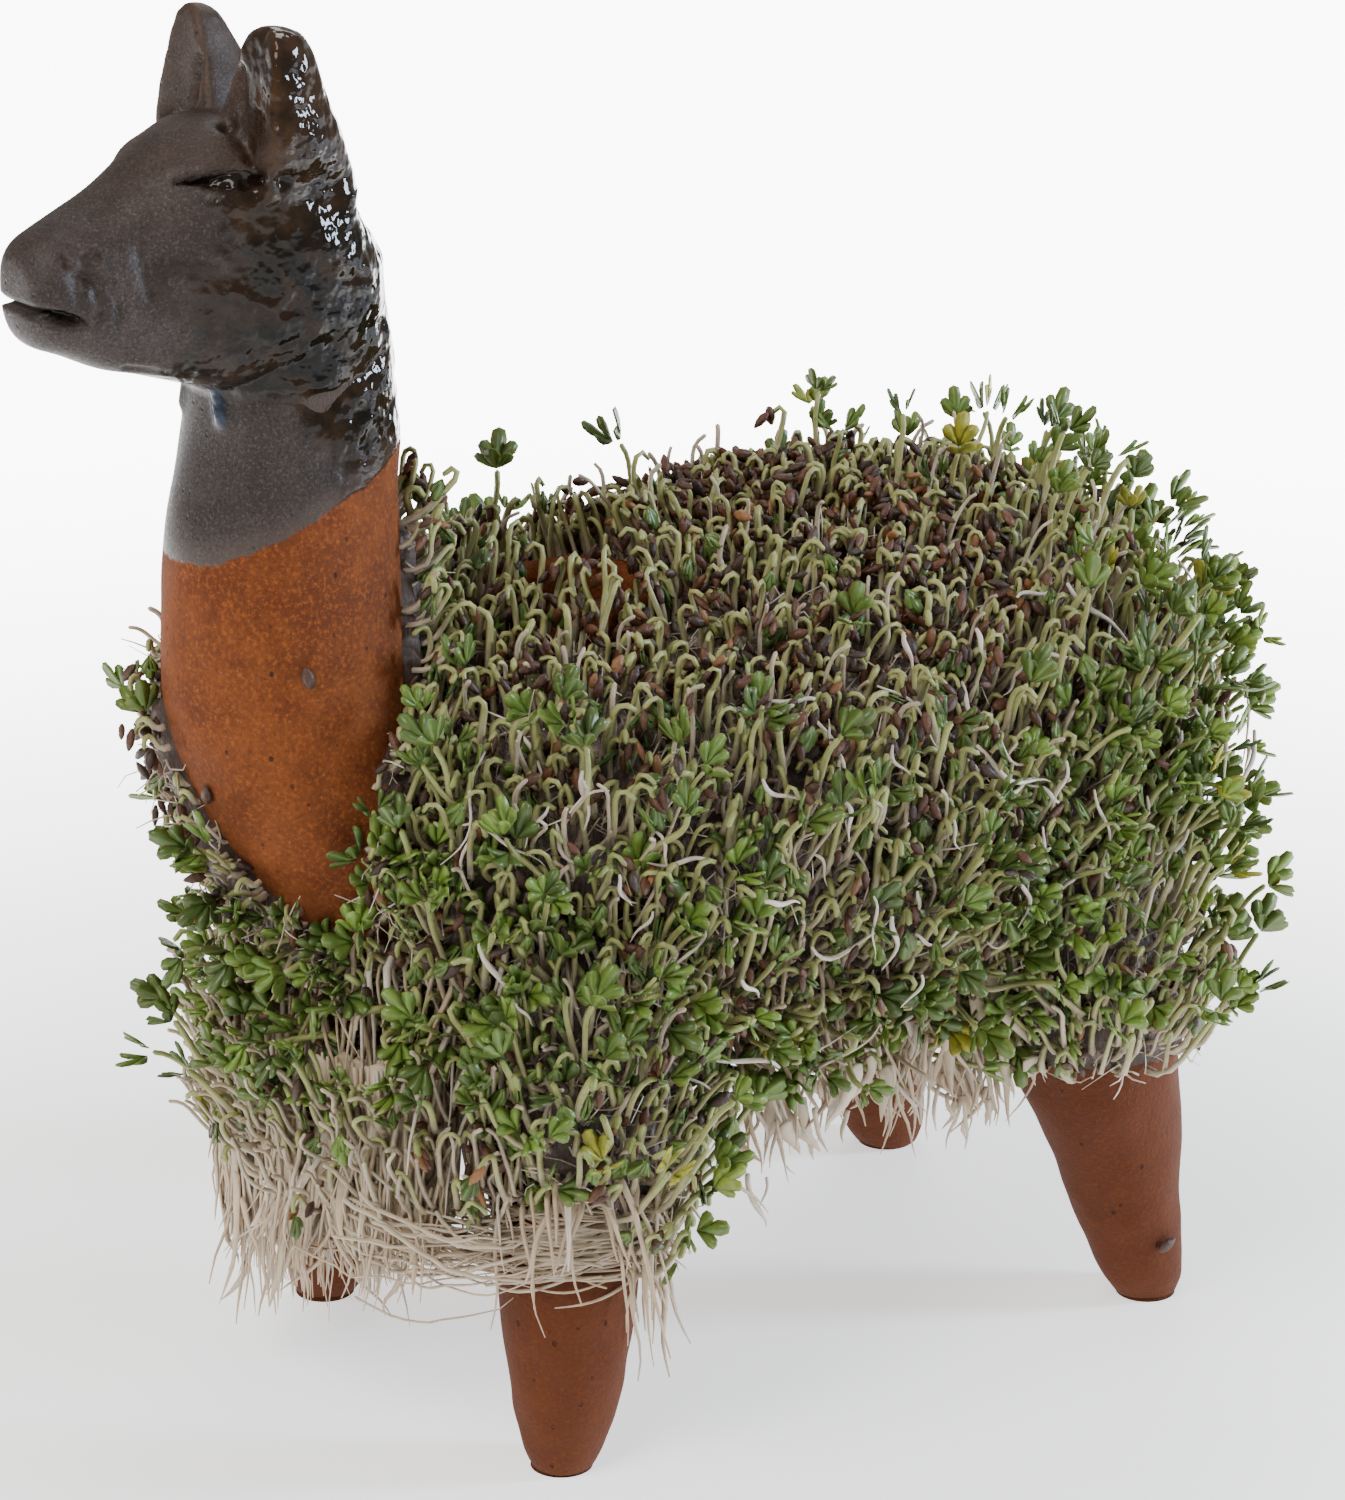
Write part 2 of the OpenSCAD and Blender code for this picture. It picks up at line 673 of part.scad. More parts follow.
// Seeds that fell where no coat grows

seed_d = leaf_d * 0.7;
seed_len = leaf_d * 1.1;

module seed(at, turn) {
    r = (seed_len * seed_len / 4 + seed_d * seed_d / 4) / seed_d;
    translate(at)
        rotate(turn)
            rotate_extrude($fn = 13)
                intersection() {
                    translate([seed_d / 2 - r, 0])
                        circle(r = r, $fn = 20);
                    translate([0, -seed_len / 2])
                        square([seed_d / 2, seed_len]);
                }
}

module stray_seeds() {
    lift = (seed_d + mat_gap) / 2;
    color("#3b241c") {
        seed(neck_grid(neck_rows * 0.42, neck_cols * 0.97, lift), [0, 20, 0]);
        seed(neck_grid(neck_rows * 0.56, neck_cols * 0.8, lift), [-10, 0, 0]);
        seed(leg_grid(rear_left, leg_rows * 0.35, 0, lift), [60, 0, 0]);
    }
}

body_shell();
fill_rim();
front_left_leg();
front_right_leg();
rear_left_leg();
rear_right_leg();
neck();
head();
left_ear();
right_ear();
chest_sprouts();
collar_sprouts();
withers_sprouts();
left_flank_sprouts();
right_flank_sprouts();
back_sprouts();
rump_sprouts();
chest_roots();
left_hanging_roots();
right_hanging_roots();
left_leg_sprouts();
right_leg_sprouts();
stray_seeds();
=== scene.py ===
"""Looks of the llama planter: bare and glazed clay, and a living coat of cress.

Shapes are worked out in millimetres in the part's own frame (+Z up, the llama looks along -Y, its left is +X)
and go into Blender in metres.
"""
import math
import bpy
import numpy as np
from mathutils import Matrix, Vector


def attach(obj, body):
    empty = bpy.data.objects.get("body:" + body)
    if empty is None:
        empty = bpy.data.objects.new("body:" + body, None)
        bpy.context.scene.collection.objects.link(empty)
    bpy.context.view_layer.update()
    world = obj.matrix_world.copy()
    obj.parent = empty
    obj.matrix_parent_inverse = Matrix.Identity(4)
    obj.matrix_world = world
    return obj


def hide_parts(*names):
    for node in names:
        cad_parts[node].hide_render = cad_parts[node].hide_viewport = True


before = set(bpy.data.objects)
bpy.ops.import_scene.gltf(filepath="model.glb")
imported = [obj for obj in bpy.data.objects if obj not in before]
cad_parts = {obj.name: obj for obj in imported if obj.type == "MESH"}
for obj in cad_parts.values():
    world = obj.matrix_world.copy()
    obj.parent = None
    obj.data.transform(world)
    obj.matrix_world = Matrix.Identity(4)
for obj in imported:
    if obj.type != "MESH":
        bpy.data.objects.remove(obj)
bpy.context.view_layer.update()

bl_info = {
    "name": "Llama planter",
    "version": (1, 0, 0),
    "blender": (4, 5, 0),
    "location": "3D View > Sidebar > Llama",
    "description": "Builds a clay llama with a glazed head and a coat of growing cress",
    "category": "Object",
}

MM = 0.001

# The clay's own sizes, as the part has them

BODY_LEN, BODY_W, BODY_RISE, BELLY_Z = 118, 68, 62, 38.5
WALL, SADDLE_DIP = 5, 5.5
FILL_D, RIM_W, RIM_RISE, FILL_AHEAD = 15, 3.5, 3.5, 23.5
NECK_TOP_D, NECK_BASE_D, NECK_AHEAD = 23.5, 31, 62
CROWN_Z, NOSE_AHEAD, HEAD_LEN, HEAD_RISE, HEAD_W = 160, 94.5, 43.5, 31, 26
EAR_Z, EAR_W, EAR_T, EAR_SCOOP, EAR_GAP = 170.5, 13.5, 10, 2.6, 17.5
STANCE_W, STANCE_LEN, FRONT_LEG_D, REAR_LEG_D = 57, 87.5, 19.5, 16
LEG_LEAN_X, FRONT_LEAN, REAR_LEAN = 6, 6.5, 15
FEET_Y = 13.4
BODY_Y = FEET_Y - 1.5
FILL_Y = FEET_Y - FILL_AHEAD
MID_Z = BELLY_Z + BODY_RISE / 2
END_FULLNESS = 0.72
LEG_TOP_Z = MID_Z
NECK_FOOT_Z = MID_Z - BODY_RISE / 3
NECK_TOP_Z = CROWN_Z - HEAD_RISE * 0.6
NOSE_Y = FEET_Y - NOSE_AHEAD
JOWL_Z = CROWN_Z - HEAD_RISE
EAR_FOOT_Z = CROWN_Z - HEAD_RISE / 4
EAR_Y = NOSE_Y + 0.58 * HEAD_LEN
RIM_FOOT_Z = MID_Z + BODY_RISE / 2 - SADDLE_DIP

FRONT_LEG_SHARES = np.array([[0, 0.38], [0.02, 0.46], [0.05, 0.54], [0.12, 0.66], [0.25, 0.81], [0.4, 0.9],
    [0.55, 1], [0.75, 0.92], [1, 0.42]])
REAR_LEG_SHARES = np.array([[0, 0.47], [0.02, 0.57], [0.05, 0.68], [0.12, 0.8], [0.21, 0.89], [0.32, 1.08],
    [0.44, 1.3], [0.6, 1.4], [0.8, 1.2], [1, 0.5]])
NECK_SHARES = np.array([[0, 0.62, -0.9], [0.06, 0.7, 0.1], [0.14, 0.78, 0.75], [0.24, 0.87, 1.05],
    [0.34, 0.94, 0.95], [0.46, 1, 0.68], [0.58, 1.012, 0.52], [0.7, 1.005, 0.31], [0.8, 0.985, 0.1],
    [0.9, 0.985, -0.02], [1, 1, -0.05]])
HEAD_SHARES = np.array([[0, 0.24, 0.56, 0.3], [0.03, 0.4, 0.62, 0.26], [0.1, 0.5, 0.68, 0.22],
    [0.22, 0.58, 0.77, 0.15], [0.32, 0.66, 0.86, 0.105], [0.42, 0.78, 0.95, 0.065], [0.54, 0.92, 1, 0.02],
    [0.68, 1, 0.95, 0], [0.82, 0.96, 0.81, 0.03], [0.93, 0.77, 0.63, 0.14], [1, 0.42, 0.48, 0.28]])
# Rise, width, inward lean and depth: fuller at the foot and at the tip than the part's solids
EAR_SHARES = np.array([[0, 0.74, 0, 1.28], [0.15, 0.93, 0.02, 1.2], [0.31, 1, 0.12, 1.06],
    [0.5, 0.9, 0.3, 0.88], [0.7, 0.73, 0.56, 0.7], [0.87, 0.58, 0.83, 0.54], [0.95, 0.45, 0.94, 0.43],
    [1, 0.2, 1, 0.24]])
# The bare bib: angle round the neck from its front towards the left flank, and share of the neck's height
# up to which the coat climbs there
COAT_SHARES = np.array([[-180, 0.69], [-147, 0.66], [-130, 0.56], [-100, 0.53], [-60, 0.51], [-33, 0.5],
    [-15, 0.44], [0, 0.33], [25, 0.2], [57, 0.1], [75, 0.28], [100, 0.42], [130, 0.48], [147, 0.68],
    [180, 0.69]])
# Each leg: its side, its end, its diameter, its lean lengthwise and its shares
LEGS = {
    "front_left_leg": (1, -1, FRONT_LEG_D, FRONT_LEAN, FRONT_LEG_SHARES),
    "front_right_leg": (-1, -1, FRONT_LEG_D, FRONT_LEAN, FRONT_LEG_SHARES),
    "rear_left_leg": (1, 1, REAR_LEG_D, REAR_LEAN, REAR_LEG_SHARES),
    "rear_right_leg": (-1, 1, REAR_LEG_D, REAR_LEAN, REAR_LEG_SHARES),
}
UP = np.array([0.0, 0.0, 1.0])
# The radius of the coat's lower edge round the chest, and how far to a side the coat may reach
HEM_R, WIDEST = 31, 53.0
# How far down the flanks the coat comes, in degrees round the body from the ridge of its back
HEM_ANGLE = 145
# Rows and columns of the mat on body and neck. A leg's has fewer.
MAT_GRIDS = {"body": (190, 250), "neck": (100, 90)}
# The glaze's lower edge rises this much for each unit of x and of y
GLAZE_SLOPE = (0.242, 0.373)
# The glaze is glossy where x, y and z in these shares come to more than a limit
GLOSS_LINE = (0.65, 1, 0.484)
# A level direction, mostly to the llama's left and partly ahead
SIDEWAYS = (0.838, -0.546)
# The clay's Specular IOR Level
CLAY_SHINE = 0.25


# Numbers

def step(value, low, high):
    """0 below low, 1 above high, and a smooth S between them."""
    t = np.clip((value - low) / (high - low), 0, 1)
    return t * t * (3 - 2 * t)


def unit(v):
    return v / np.maximum(np.linalg.norm(v, axis=-1, keepdims=True), 1e-9)


def xyz(*parts):
    """Points or directions from their three coordinates."""
    return np.stack(parts, -1)


def spline_at(rows, t):
    """The Catmull-Rom curve through a table's rows, evenly spaced, at places t from 0 to 1."""
    last = len(rows) - 1
    i = np.clip(np.floor(t * last).astype(int), 0, last - 1)
    f = (t * last - i)[..., None]
    a, b = rows[np.maximum(i - 1, 0)], rows[i]
    c, d = rows[i + 1], rows[np.minimum(i + 2, last)]
    return b + f * (c - a) / 2 + f**2 * (a - 2.5 * b + 2 * c - d / 2) + f**3 * (1.5 * (b - c) + (d - a) / 2)


def noise(points, cell, seed):
    """Value noise from -1 to 1: a hashed number at each corner of a lattice of cells, smoothly mixed."""
    q = points / cell + seed * 17.3
    corner = np.floor(q).astype(np.int64)
    f = q - corner
    f = f * f * (3 - 2 * f)
    total = np.zeros(points.shape[:-1])
    for bits in range(8):
        b = np.array([bits & 1, bits >> 1 & 1, bits >> 2 & 1])
        c = corner + b
        mixed = c[..., 0] * 73856093 ^ c[..., 1] * 19349663 ^ c[..., 2] * 83492791 ^ seed * 2654435
        mixed = (mixed ^ mixed >> 13) * 1274126177
        total += np.prod(np.where(b, f, 1 - f), -1) * ((mixed >> 8 & 0xFFFF) / 32767.5 - 1)
    return total


def from_segment(points, a, b):
    """Distance of each point from the segment from a to b, and its share of the way along."""
    a, b = np.array(a, float), np.array(b, float)
    t = np.clip((points - a) @ (b - a) / ((b - a) @ (b - a)), 0, 1)
    return np.linalg.norm(points - a - t[:, None] * (b - a), axis=-1), t


# Meshes

def grid_faces(rows, cols):
    """Quads over rows by cols points that close round the columns, with a fan to a pole point at either end.
    The poles are the two points after the grid."""
    i, j = np.meshgrid(np.arange(rows - 1), np.arange(cols), indexing="ij")
    k = (j + 1) % cols
    quads = xyz(i * cols + j, (i + 1) * cols + j, (i + 1) * cols + k, i * cols + k).reshape(-1, 4)
    j, k, end, first = j[0], k[0], (rows - 1) * cols, np.full(cols, rows * cols)
    return [quads, np.concatenate([xyz(j, k, first), xyz(end + k, end + j, first + 1)])]


def closed_grid(points):
    """Points of a closed skin from its rows: the rows themselves, then the middles of the first and last."""
    rows = points.reshape(points.shape[0], -1, 3)
    return np.concatenate([rows.reshape(-1, 3), rows[0].mean(0)[None], rows[-1].mean(0)[None]])


def carry_tint(mesh, tint):
    """Gives each point up to four numbers, which its material reads as tint. Any left out is 1."""
    colours = np.ones((len(tint), 4), np.float32)
    colours[:, :tint.shape[1]] = tint
    mesh.attributes.new("tint", "FLOAT_COLOR", "POINT").data.foreach_set("color", colours.ravel())


def mesh_object(name, points, faces, material, tint=None):
    """A smooth Blender object of the points, in millimetres, and the lists of faces."""
    mesh = bpy.data.meshes.new(name)
    mesh.vertices.add(len(points))
    mesh.vertices.foreach_set("co", (np.asarray(points) * MM).astype(np.float32).ravel())
    sizes = np.concatenate([np.full(len(f), f.shape[1]) for f in faces])
    mesh.loops.add(int(sizes.sum()))
    mesh.loops.foreach_set("vertex_index", np.concatenate([f.ravel() for f in faces]).astype(np.int32))
    mesh.polygons.add(len(sizes))
    mesh.polygons.foreach_set("loop_start", (np.cumsum(sizes) - sizes).astype(np.int32))
    mesh.polygons.foreach_set("use_smooth", np.full(len(sizes), True))
    mesh.update(calc_edges=True)
    if tint is not None:
        carry_tint(mesh, tint)
    mesh.validate()
    obj = bpy.data.objects.new(name, mesh)
    bpy.context.scene.collection.objects.link(obj)
    mesh.materials.append(material)
    return obj


def seated(obj, slot, *nodes):
    """Puts a finished piece on the part and hides the solids that it stands for. slot, its finish, is not
    used.
    """
    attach(obj, "root")
    if nodes:
        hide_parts(*nodes)


def baked(obj):
    """Gives the object the mesh that its modifiers make, and returns that mesh."""
    deps = bpy.context.evaluated_depsgraph_get()
    mesh = bpy.data.meshes.new_from_object(obj.evaluated_get(deps))
    obj.modifiers.clear()
    obj.data = mesh
    return mesh


def fused(name, skins, voxel):
    """One closed skin round several that cross, resampled on cubes: its object, points and edges."""
    faces, base = [], 0
    for p, f in skins:
        faces += [g + base for g in f]
        base += len(p)
    obj = mesh_object(name, np.concatenate([p for p, _ in skins]), faces, None)
    remesh = obj.modifiers.new("cubes", "REMESH")
    remesh.mode, remesh.voxel_size, remesh.use_smooth_shade = "VOXEL", voxel * MM, True
    rough = obj.data
    mesh = baked(obj)
    bpy.data.meshes.remove(rough)
    mesh.name = name
    points, edges = np.empty(len(mesh.vertices) * 3, np.float32), np.empty(len(mesh.edges) * 2, np.int32)
    mesh.vertices.foreach_get("co", points)
    mesh.edges.foreach_get("vertices", edges)
    return obj, points.reshape(-1, 3).astype(float) / MM, edges.reshape(-1, 2)


def neighbour_mean(points, edges):
    """The mean of each point's neighbours along the edges."""
    a, b = edges[:, 0], edges[:, 1]
    count = np.bincount(edges.ravel(), minlength=len(points))[:, None]
    total = xyz(*[np.bincount(a, points[b, k], len(points)) + np.bincount(b, points[a, k], len(points))
        for k in range(points.shape[1])])
    return total / np.maximum(count, 1)


def relaxed(points, edges, rounds):
    """Moves each point half of the way to its neighbours' mean, so many rounds over."""
    for _ in range(rounds):
        points = points + 0.5 * (neighbour_mean(points, edges) - points)
    return points


def normals_of(mesh, points):
    """The mesh's normals once its points, in millimetres, are in place."""
    mesh.vertices.foreach_set("co", (points * MM).astype(np.float32).ravel())
    mesh.update()
    n = np.empty(len(mesh.vertices) * 3, np.float32)
    mesh.vertex_normals.foreach_get("vector", n)
    return n.reshape(-1, 3).astype(float)


# Surfaces of the clay

def back_half(y):
    """Half the body's height on its upper side: it dips at the filling opening by a bell curve."""
    return BODY_RISE / 2 - SADDLE_DIP * np.exp(-((y - FILL_Y) / (BODY_LEN / 7)) ** 2)


def body_surface(u, v, grow=0.0):
    """A fat ellipsoid: u runs from chest to rump and v round it from the left flank over the back. Its
    half-width and half-height follow the sine of the way along, raised to a power under 1."""
    theta, phi = np.pi * u, 2 * np.pi * v
    s = np.maximum(np.sin(theta), 0) ** END_FULLNESS
    y = BODY_Y - (BODY_LEN / 2 + grow) * np.cos(theta)
    half = np.where(np.sin(phi) > 0, back_half(y), BODY_RISE / 2) + grow
    return xyz((BODY_W / 2 + grow) * s * np.cos(phi), y, MID_Z + half * s * np.sin(phi))


def leg_axis(leg, rise):
    """The leaning middle of a leg, at a share of its height."""
    side, end, lean = leg[0], leg[1], leg[3]
    x = side * (STANCE_W / 2 - LEG_LEAN_X * rise)
    return xyz(x, FEET_Y + end * (STANCE_LEN / 2 - lean * rise), LEG_TOP_Z * rise)


def level_ring(angle):
    """Level directions at angles from the llama's left by way of its front."""
    return xyz(np.cos(angle), -np.sin(angle), 0 * angle)


def leg_surface(leg):
    def at(u, v, grow=0.0):
        """Rings round a leaning axis, with radii from the leg's table: u runs up the leg, and v round it."""
        shares = spline_at(leg[4], u)
        r = shares[..., 1] * leg[2] / 2 + grow
        return leg_axis(leg, shares[..., 0]) + r[..., None] * level_ring(2 * np.pi * v)
    return at


def neck_surface(u, v, grow=0.0):
    """Rings round the neck's bent axis: u runs up it, and v round it from its front by the right."""
    shares = spline_at(NECK_SHARES, u)
    psi = -2 * np.pi * v
    r = (NECK_TOP_D + shares[..., 2] * (NECK_BASE_D - NECK_TOP_D)) / 2 + grow
    y = FEET_Y - NECK_AHEAD * shares[..., 1] - r * np.cos(psi)
    return xyz(r * np.sin(psi), y, NECK_FOOT_Z + shares[..., 0] * (NECK_TOP_Z - NECK_FOOT_Z))


def head_surface(u, v):
    """Squared ellipses along the head: u runs from nose to nape, v round it from the left. Both ends close
    in a dome."""
    shares = spline_at(HEAD_SHARES, u)
    nape = np.clip((u - 0.96) / 0.04, 0, 1)
    dome = np.sqrt(1 - (1 - np.clip(u / 0.035, 0, 1)) ** 2) * np.sqrt(1 - nape**2)
    mid = (shares[..., 2] + shares[..., 3]) / 2
    half = (shares[..., 2] - shares[..., 3]) / 2 * HEAD_RISE * dome
    c, s = np.cos(2 * np.pi * v), np.sin(2 * np.pi * v)
    x = shares[..., 1] * HEAD_W / 2 * dome * np.sign(c) * np.abs(c) ** 0.8
    z = JOWL_Z + mid * HEAD_RISE + half * np.sign(s) * np.abs(s) ** 0.8
    return xyz(x, NOSE_Y + shares[..., 0] * HEAD_LEN, z)


def ear_surface(side):
    def at(u, v):
        """A blunt pyramid: u runs up the ear and v round it. The front is a shallow dish between two rounded
        corners, and the back is round. The right ear has the narrower tip."""
        shares = spline_at(EAR_SHARES, u)
        shares[..., [1, 3]] *= 1 - 0.3 * (side < 0) * shares[..., :1] ** 3
        s, c = np.sin(2 * np.pi * v), np.cos(2 * np.pi * v)
        front = 1.6 * np.abs(s) ** 0.5 - 0.4 * EAR_SCOOP * s**4
        depth = np.where(s > 0, shares[..., 1] * front, shares[..., 3] * EAR_T * s)
        foot = EAR_W / 2 + 0.3
        x = side * (foot + shares[..., 2] * (EAR_GAP / 2 - foot))
        x = x + shares[..., 1] * EAR_W / 2 * np.sign(c) * np.abs(c) ** 0.85
        y = EAR_Y + shares[..., 0] * EAR_T / 6 - depth
        return xyz(x, y, EAR_FOOT_Z + shares[..., 0] * (EAR_Z - EAR_FOOT_Z))
    return at


def facing(surface, u, v):
    """Outward direction of a surface: across its two parameters' directions."""
    e = 2e-3
    lo, mid, hi = (np.clip(u + k * e, 0.004, 0.996) for k in (-1, 0, 1))
    along = surface(np.maximum(hi, lo + e), v) - surface(lo, v)
    return unit(np.cross(along, surface(mid, v + e) - surface(mid, v - e)))


def skin_of(surface, rows, cols, first=0.0, last=1.0, lift=None):
    """Points and faces of a closed skin over rows by cols points of a surface. lift(points, u, v) gives how
    far each point stands off it."""
    u, v = np.meshgrid(np.linspace(first, last, rows), np.arange(cols) / cols, indexing="ij")
    points = surface(u, v)
    if lift is not None:
        points = points + lift(points, u, v)[..., None] * facing(surface, u, v)
    return closed_grid(points), grid_faces(rows, cols)


# Clearances of points from the clay, in millimetres

NOWHERE_NEAR = 99.0


def leg_radius(leg, rise):
    """A leg's radius at a share of its height, straight between the rows of its table."""
    return np.interp(rise, leg[4][:, 0], leg[4][:, 1]) * leg[2] / 2


def off_legs(p):
    """Level distance from the nearest leg."""
    rise = p[..., 2] / LEG_TOP_Z
    near = []
    for leg in LEGS.values():
        off = p - leg_axis(leg, rise)
        near.append(np.hypot(off[..., 0], off[..., 1]) - leg_radius(leg, rise))
    return np.where(p[..., 2] > LEG_TOP_Z, NOWHERE_NEAR, np.minimum.reduce(near))


def off_neck(p):
    """Level distance from the neck."""
    rise = (p[..., 2] - NECK_FOOT_Z) / (NECK_TOP_Z - NECK_FOOT_Z)
    y = FEET_Y - NECK_AHEAD * np.interp(rise, NECK_SHARES[:, 0], NECK_SHARES[:, 1])
    swell = np.interp(rise, NECK_SHARES[:, 0], NECK_SHARES[:, 2])
    r = (NECK_TOP_D + swell * (NECK_BASE_D - NECK_TOP_D)) / 2
    return np.where((rise < 0) | (rise > 1), NOWHERE_NEAR, np.hypot(p[..., 0], p[..., 1] - y) - r)


def off_rim(p):
    """Level distance from the coil round the filling opening."""
    off = np.hypot(p[..., 0], p[..., 1] - FILL_Y) - FILL_D / 2 - RIM_W + 0.8
    return np.where(p[..., 2] < MID_Z, NOWHERE_NEAR, off)


def off_body(p):
    """Roughly how far a point lies outside the body's skin."""
    along = np.clip((p[..., 1] - BODY_Y) / (BODY_LEN / 2), -0.999, 0.999)
    s = np.sqrt(1 - along**2) ** END_FULLNESS
    half = np.where(p[..., 2] > MID_Z, back_half(p[..., 1]), BODY_RISE / 2)
    level = np.hypot(p[..., 0] / (BODY_W / 2), (p[..., 2] - MID_Z) / half) / s
    beyond = np.abs(p[..., 1] - BODY_Y) - BODY_LEN / 2
    return np.maximum((level - 1) * s * 32, beyond)


# Shader trees

class Value:
    """A number that a shader node puts out. Arithmetic with it adds the nodes that do the sum."""

    def __init__(self, tree, socket):
        self.tree, self.socket = tree, socket

    def __add__(self, other):
        return self.tree.math("ADD", self, other)

    def __sub__(self, other):
        return self.tree.math("SUBTRACT", self, other)

    def __mul__(self, other):
        return self.tree.math("MULTIPLY", self, other)


class Tree:
    """Adds nodes to a material's or a group's tree, and links or sets whatever it is given."""

    def __init__(self, tree):
        self.tree = tree

    def add(self, kind, inputs=None, **settings):
        """A new node of a kind."""
        node = self.tree.nodes.new(kind)
        for name, value in settings.items():
            setattr(node, name, value)
        for name, value in (inputs or {}).items():
            value = getattr(value, "socket", value)
            if isinstance(value, bpy.types.NodeSocket):
                self.tree.links.new(value, node.inputs[name])
            else:
                node.inputs[name].default_value = value
        return node

    def values(self, kind, inputs, **settings):
        """The numbers that a new node puts out, by their names."""
        return {s.name: Value(self, s) for s in self.add(kind, inputs, **settings).outputs}

    def value(self, kind, inputs, **settings):
        """The first number that a new node puts out."""
        return Value(self, self.add(kind, inputs, **settings).outputs[0])

    def math(self, operation, *values):
        return self.value("ShaderNodeMath", dict(enumerate(values)), operation=operation)

    def most(self, first, *others):
        """The greatest of some numbers."""
        for other in others:
            first = self.math("MAXIMUM", first, other)
        return first

    def span(self, value, low, high, to_low=0.0, to_high=1.0):
        """to_low below low, to_high above high, and a smooth S between them."""
        inputs = {"Value": value, "From Min": low, "From Max": high, "To Min": to_low, "To Max": to_high}
        return self.value("ShaderNodeMapRange", inputs, interpolation_type="SMOOTHSTEP")

    def blend(self, share, a, b):
        """From number a to number b."""
        return self.value("ShaderNodeMix", {0: share, 2: a, 3: b})

    def layered(self, colour, *layers):
        """A colour under layers, each a share and a colour. A colour is three numbers or a node's."""
        for share, layer in layers:
            under, over = (c if isinstance(c, bpy.types.NodeSocket) else (*c, 1.0) for c in (colour, layer))
            colour = self.add("ShaderNodeMix", {0: share, 6: under, 7: over}, data_type="RGBA").outputs[2]
        return colour

    def cloud(self, where, size_mm, detail, rough=0.55):
        inputs = {"Vector": where, "Scale": 1 / (size_mm * MM), "Detail": detail, "Roughness": rough}
        return self.value("ShaderNodeTexNoise", inputs)

    def cells(self, where, size_mm, feature="F1"):
        """Distance from the middle of the nearest of many cells."""
        inputs = {"Vector": where, "Scale": 1 / (size_mm * MM)}
        return self.value("ShaderNodeTexVoronoi", inputs, feature=feature)

    def bump(self, height, distance_mm, strength):
        inputs = {"Height": height, "Distance": distance_mm * MM, "Strength": strength}
        return self.add("ShaderNodeBump", inputs).outputs[0]

    def place(self):
        """Where on the object each point lies, in metres."""
        return self.add("ShaderNodeTexCoord").outputs["Object"]

    def stretched(self, where, scale):
        return self.add("ShaderNodeMapping", {"Vector": where, "Scale": scale}).outputs[0]

    def parted(self, where):
        """A place's three coordinates."""
        return self.values("ShaderNodeSeparateXYZ", {0: where}).values()

    def tint(self):
        """The four numbers that a piece carries at each point."""
        given = self.add("ShaderNodeAttribute", attribute_name="tint").outputs
        parts = self.values("ShaderNodeSeparateColor", {0: given["Color"]})
        return *parts.values(), Value(self, given["Alpha"])

    def clay(self, where):
        """The clay grain's numbers at a place, by their names."""
        return self.values("ShaderNodeGroup", {"Vector": where}, node_tree=bpy.data.node_groups["Clay grain"])


def new_material(name, paint, *given):
    """A material on one Principled shader, whose inputs paint(tree, *given) returns by name."""
    material = bpy.data.materials.new(name)
    material.use_nodes = True
    material.node_tree.nodes.clear()
    tree = Tree(material.node_tree)
    shader = tree.add("ShaderNodeBsdfPrincipled", paint(tree, *given))
    tree.add("ShaderNodeOutputMaterial", {"Surface": shader.outputs[0]})
    return material


def clay_grain_group():
    """Sandy fired clay: broad tone, fine sand, dark pits and pale grog, and the height of the grain."""
    group = bpy.data.node_groups.new("Clay grain", "ShaderNodeTree")
    group.interface.new_socket("Vector", in_out="INPUT", socket_type="NodeSocketVector")
    tree = Tree(group)
    where = tree.add("NodeGroupInput").outputs["Vector"]
    blotch, sand = tree.cloud(where, 4.5, 4, 0.6), tree.cloud(where, 0.55, 3, 0.7)
    patch = tree.span(tree.cloud(where, 3.2, 3), 0.5, 0.62)
    pits = tree.span(tree.cells(tree.stretched(where, (1, 1, 0.7)), 1.9), 0.16, 0.08) * patch
    made = {
        "Tone": tree.cloud(where, 22, 3) * 0.5 + blotch * 0.5,
        "Sand": sand,
        "Pits": pits,
        "Grog": tree.span(tree.cells(where, 1.7), 0.12, 0.05),
        "Height": sand * 0.6 + blotch * 0.8 - pits * 1.4,
    }
    for name in made:
        group.interface.new_socket(name, in_out="OUTPUT", socket_type="NodeSocketFloat")
    tree.add("NodeGroupOutput", made)


def clay_colour(tree, clay, looks):
    """Fired clay's colour: two browns by its broad tone, lightened by sand, darkened in its pits."""
    return tree.layered(looks.clay_dark,
        (tree.span(clay["Tone"], 0.36, 0.64), looks.clay),
        (tree.span(clay["Sand"], 0.46, 0.72, 0, 0.75), (0.27, 0.075, 0.017)),
        (tree.span(clay["Sand"], 0.44, 0.3, 0, 0.6), (0.06, 0.012, 0.002)),
        (clay["Grog"] * 0.4, (0.3, 0.13, 0.06)),
        # Painted shade: the pits, which the bump also sinks, are darkened nearly to black.
        (clay["Pits"] * 0.85, (0.02, 0.009, 0.006)))


def paint_clay(tree, looks):
    """Bare fired clay, darker towards the soles."""
    where = tree.place()
    clay = tree.clay(where)
    _, _, z = tree.parted(where)
    low = tree.span(z, 0.08, 0.03) * 0.7
    return {"Base Color": tree.layered(clay_colour(tree, clay, looks), (low, (0.066, 0.0145, 0.0028))),
        "Roughness": tree.span(clay["Sand"], 0.2, 0.8, 0.72, 0.9), "Specular IOR Level": CLAY_SHINE,
        "Normal": tree.bump(clay["Height"], 0.45, 0.9)}


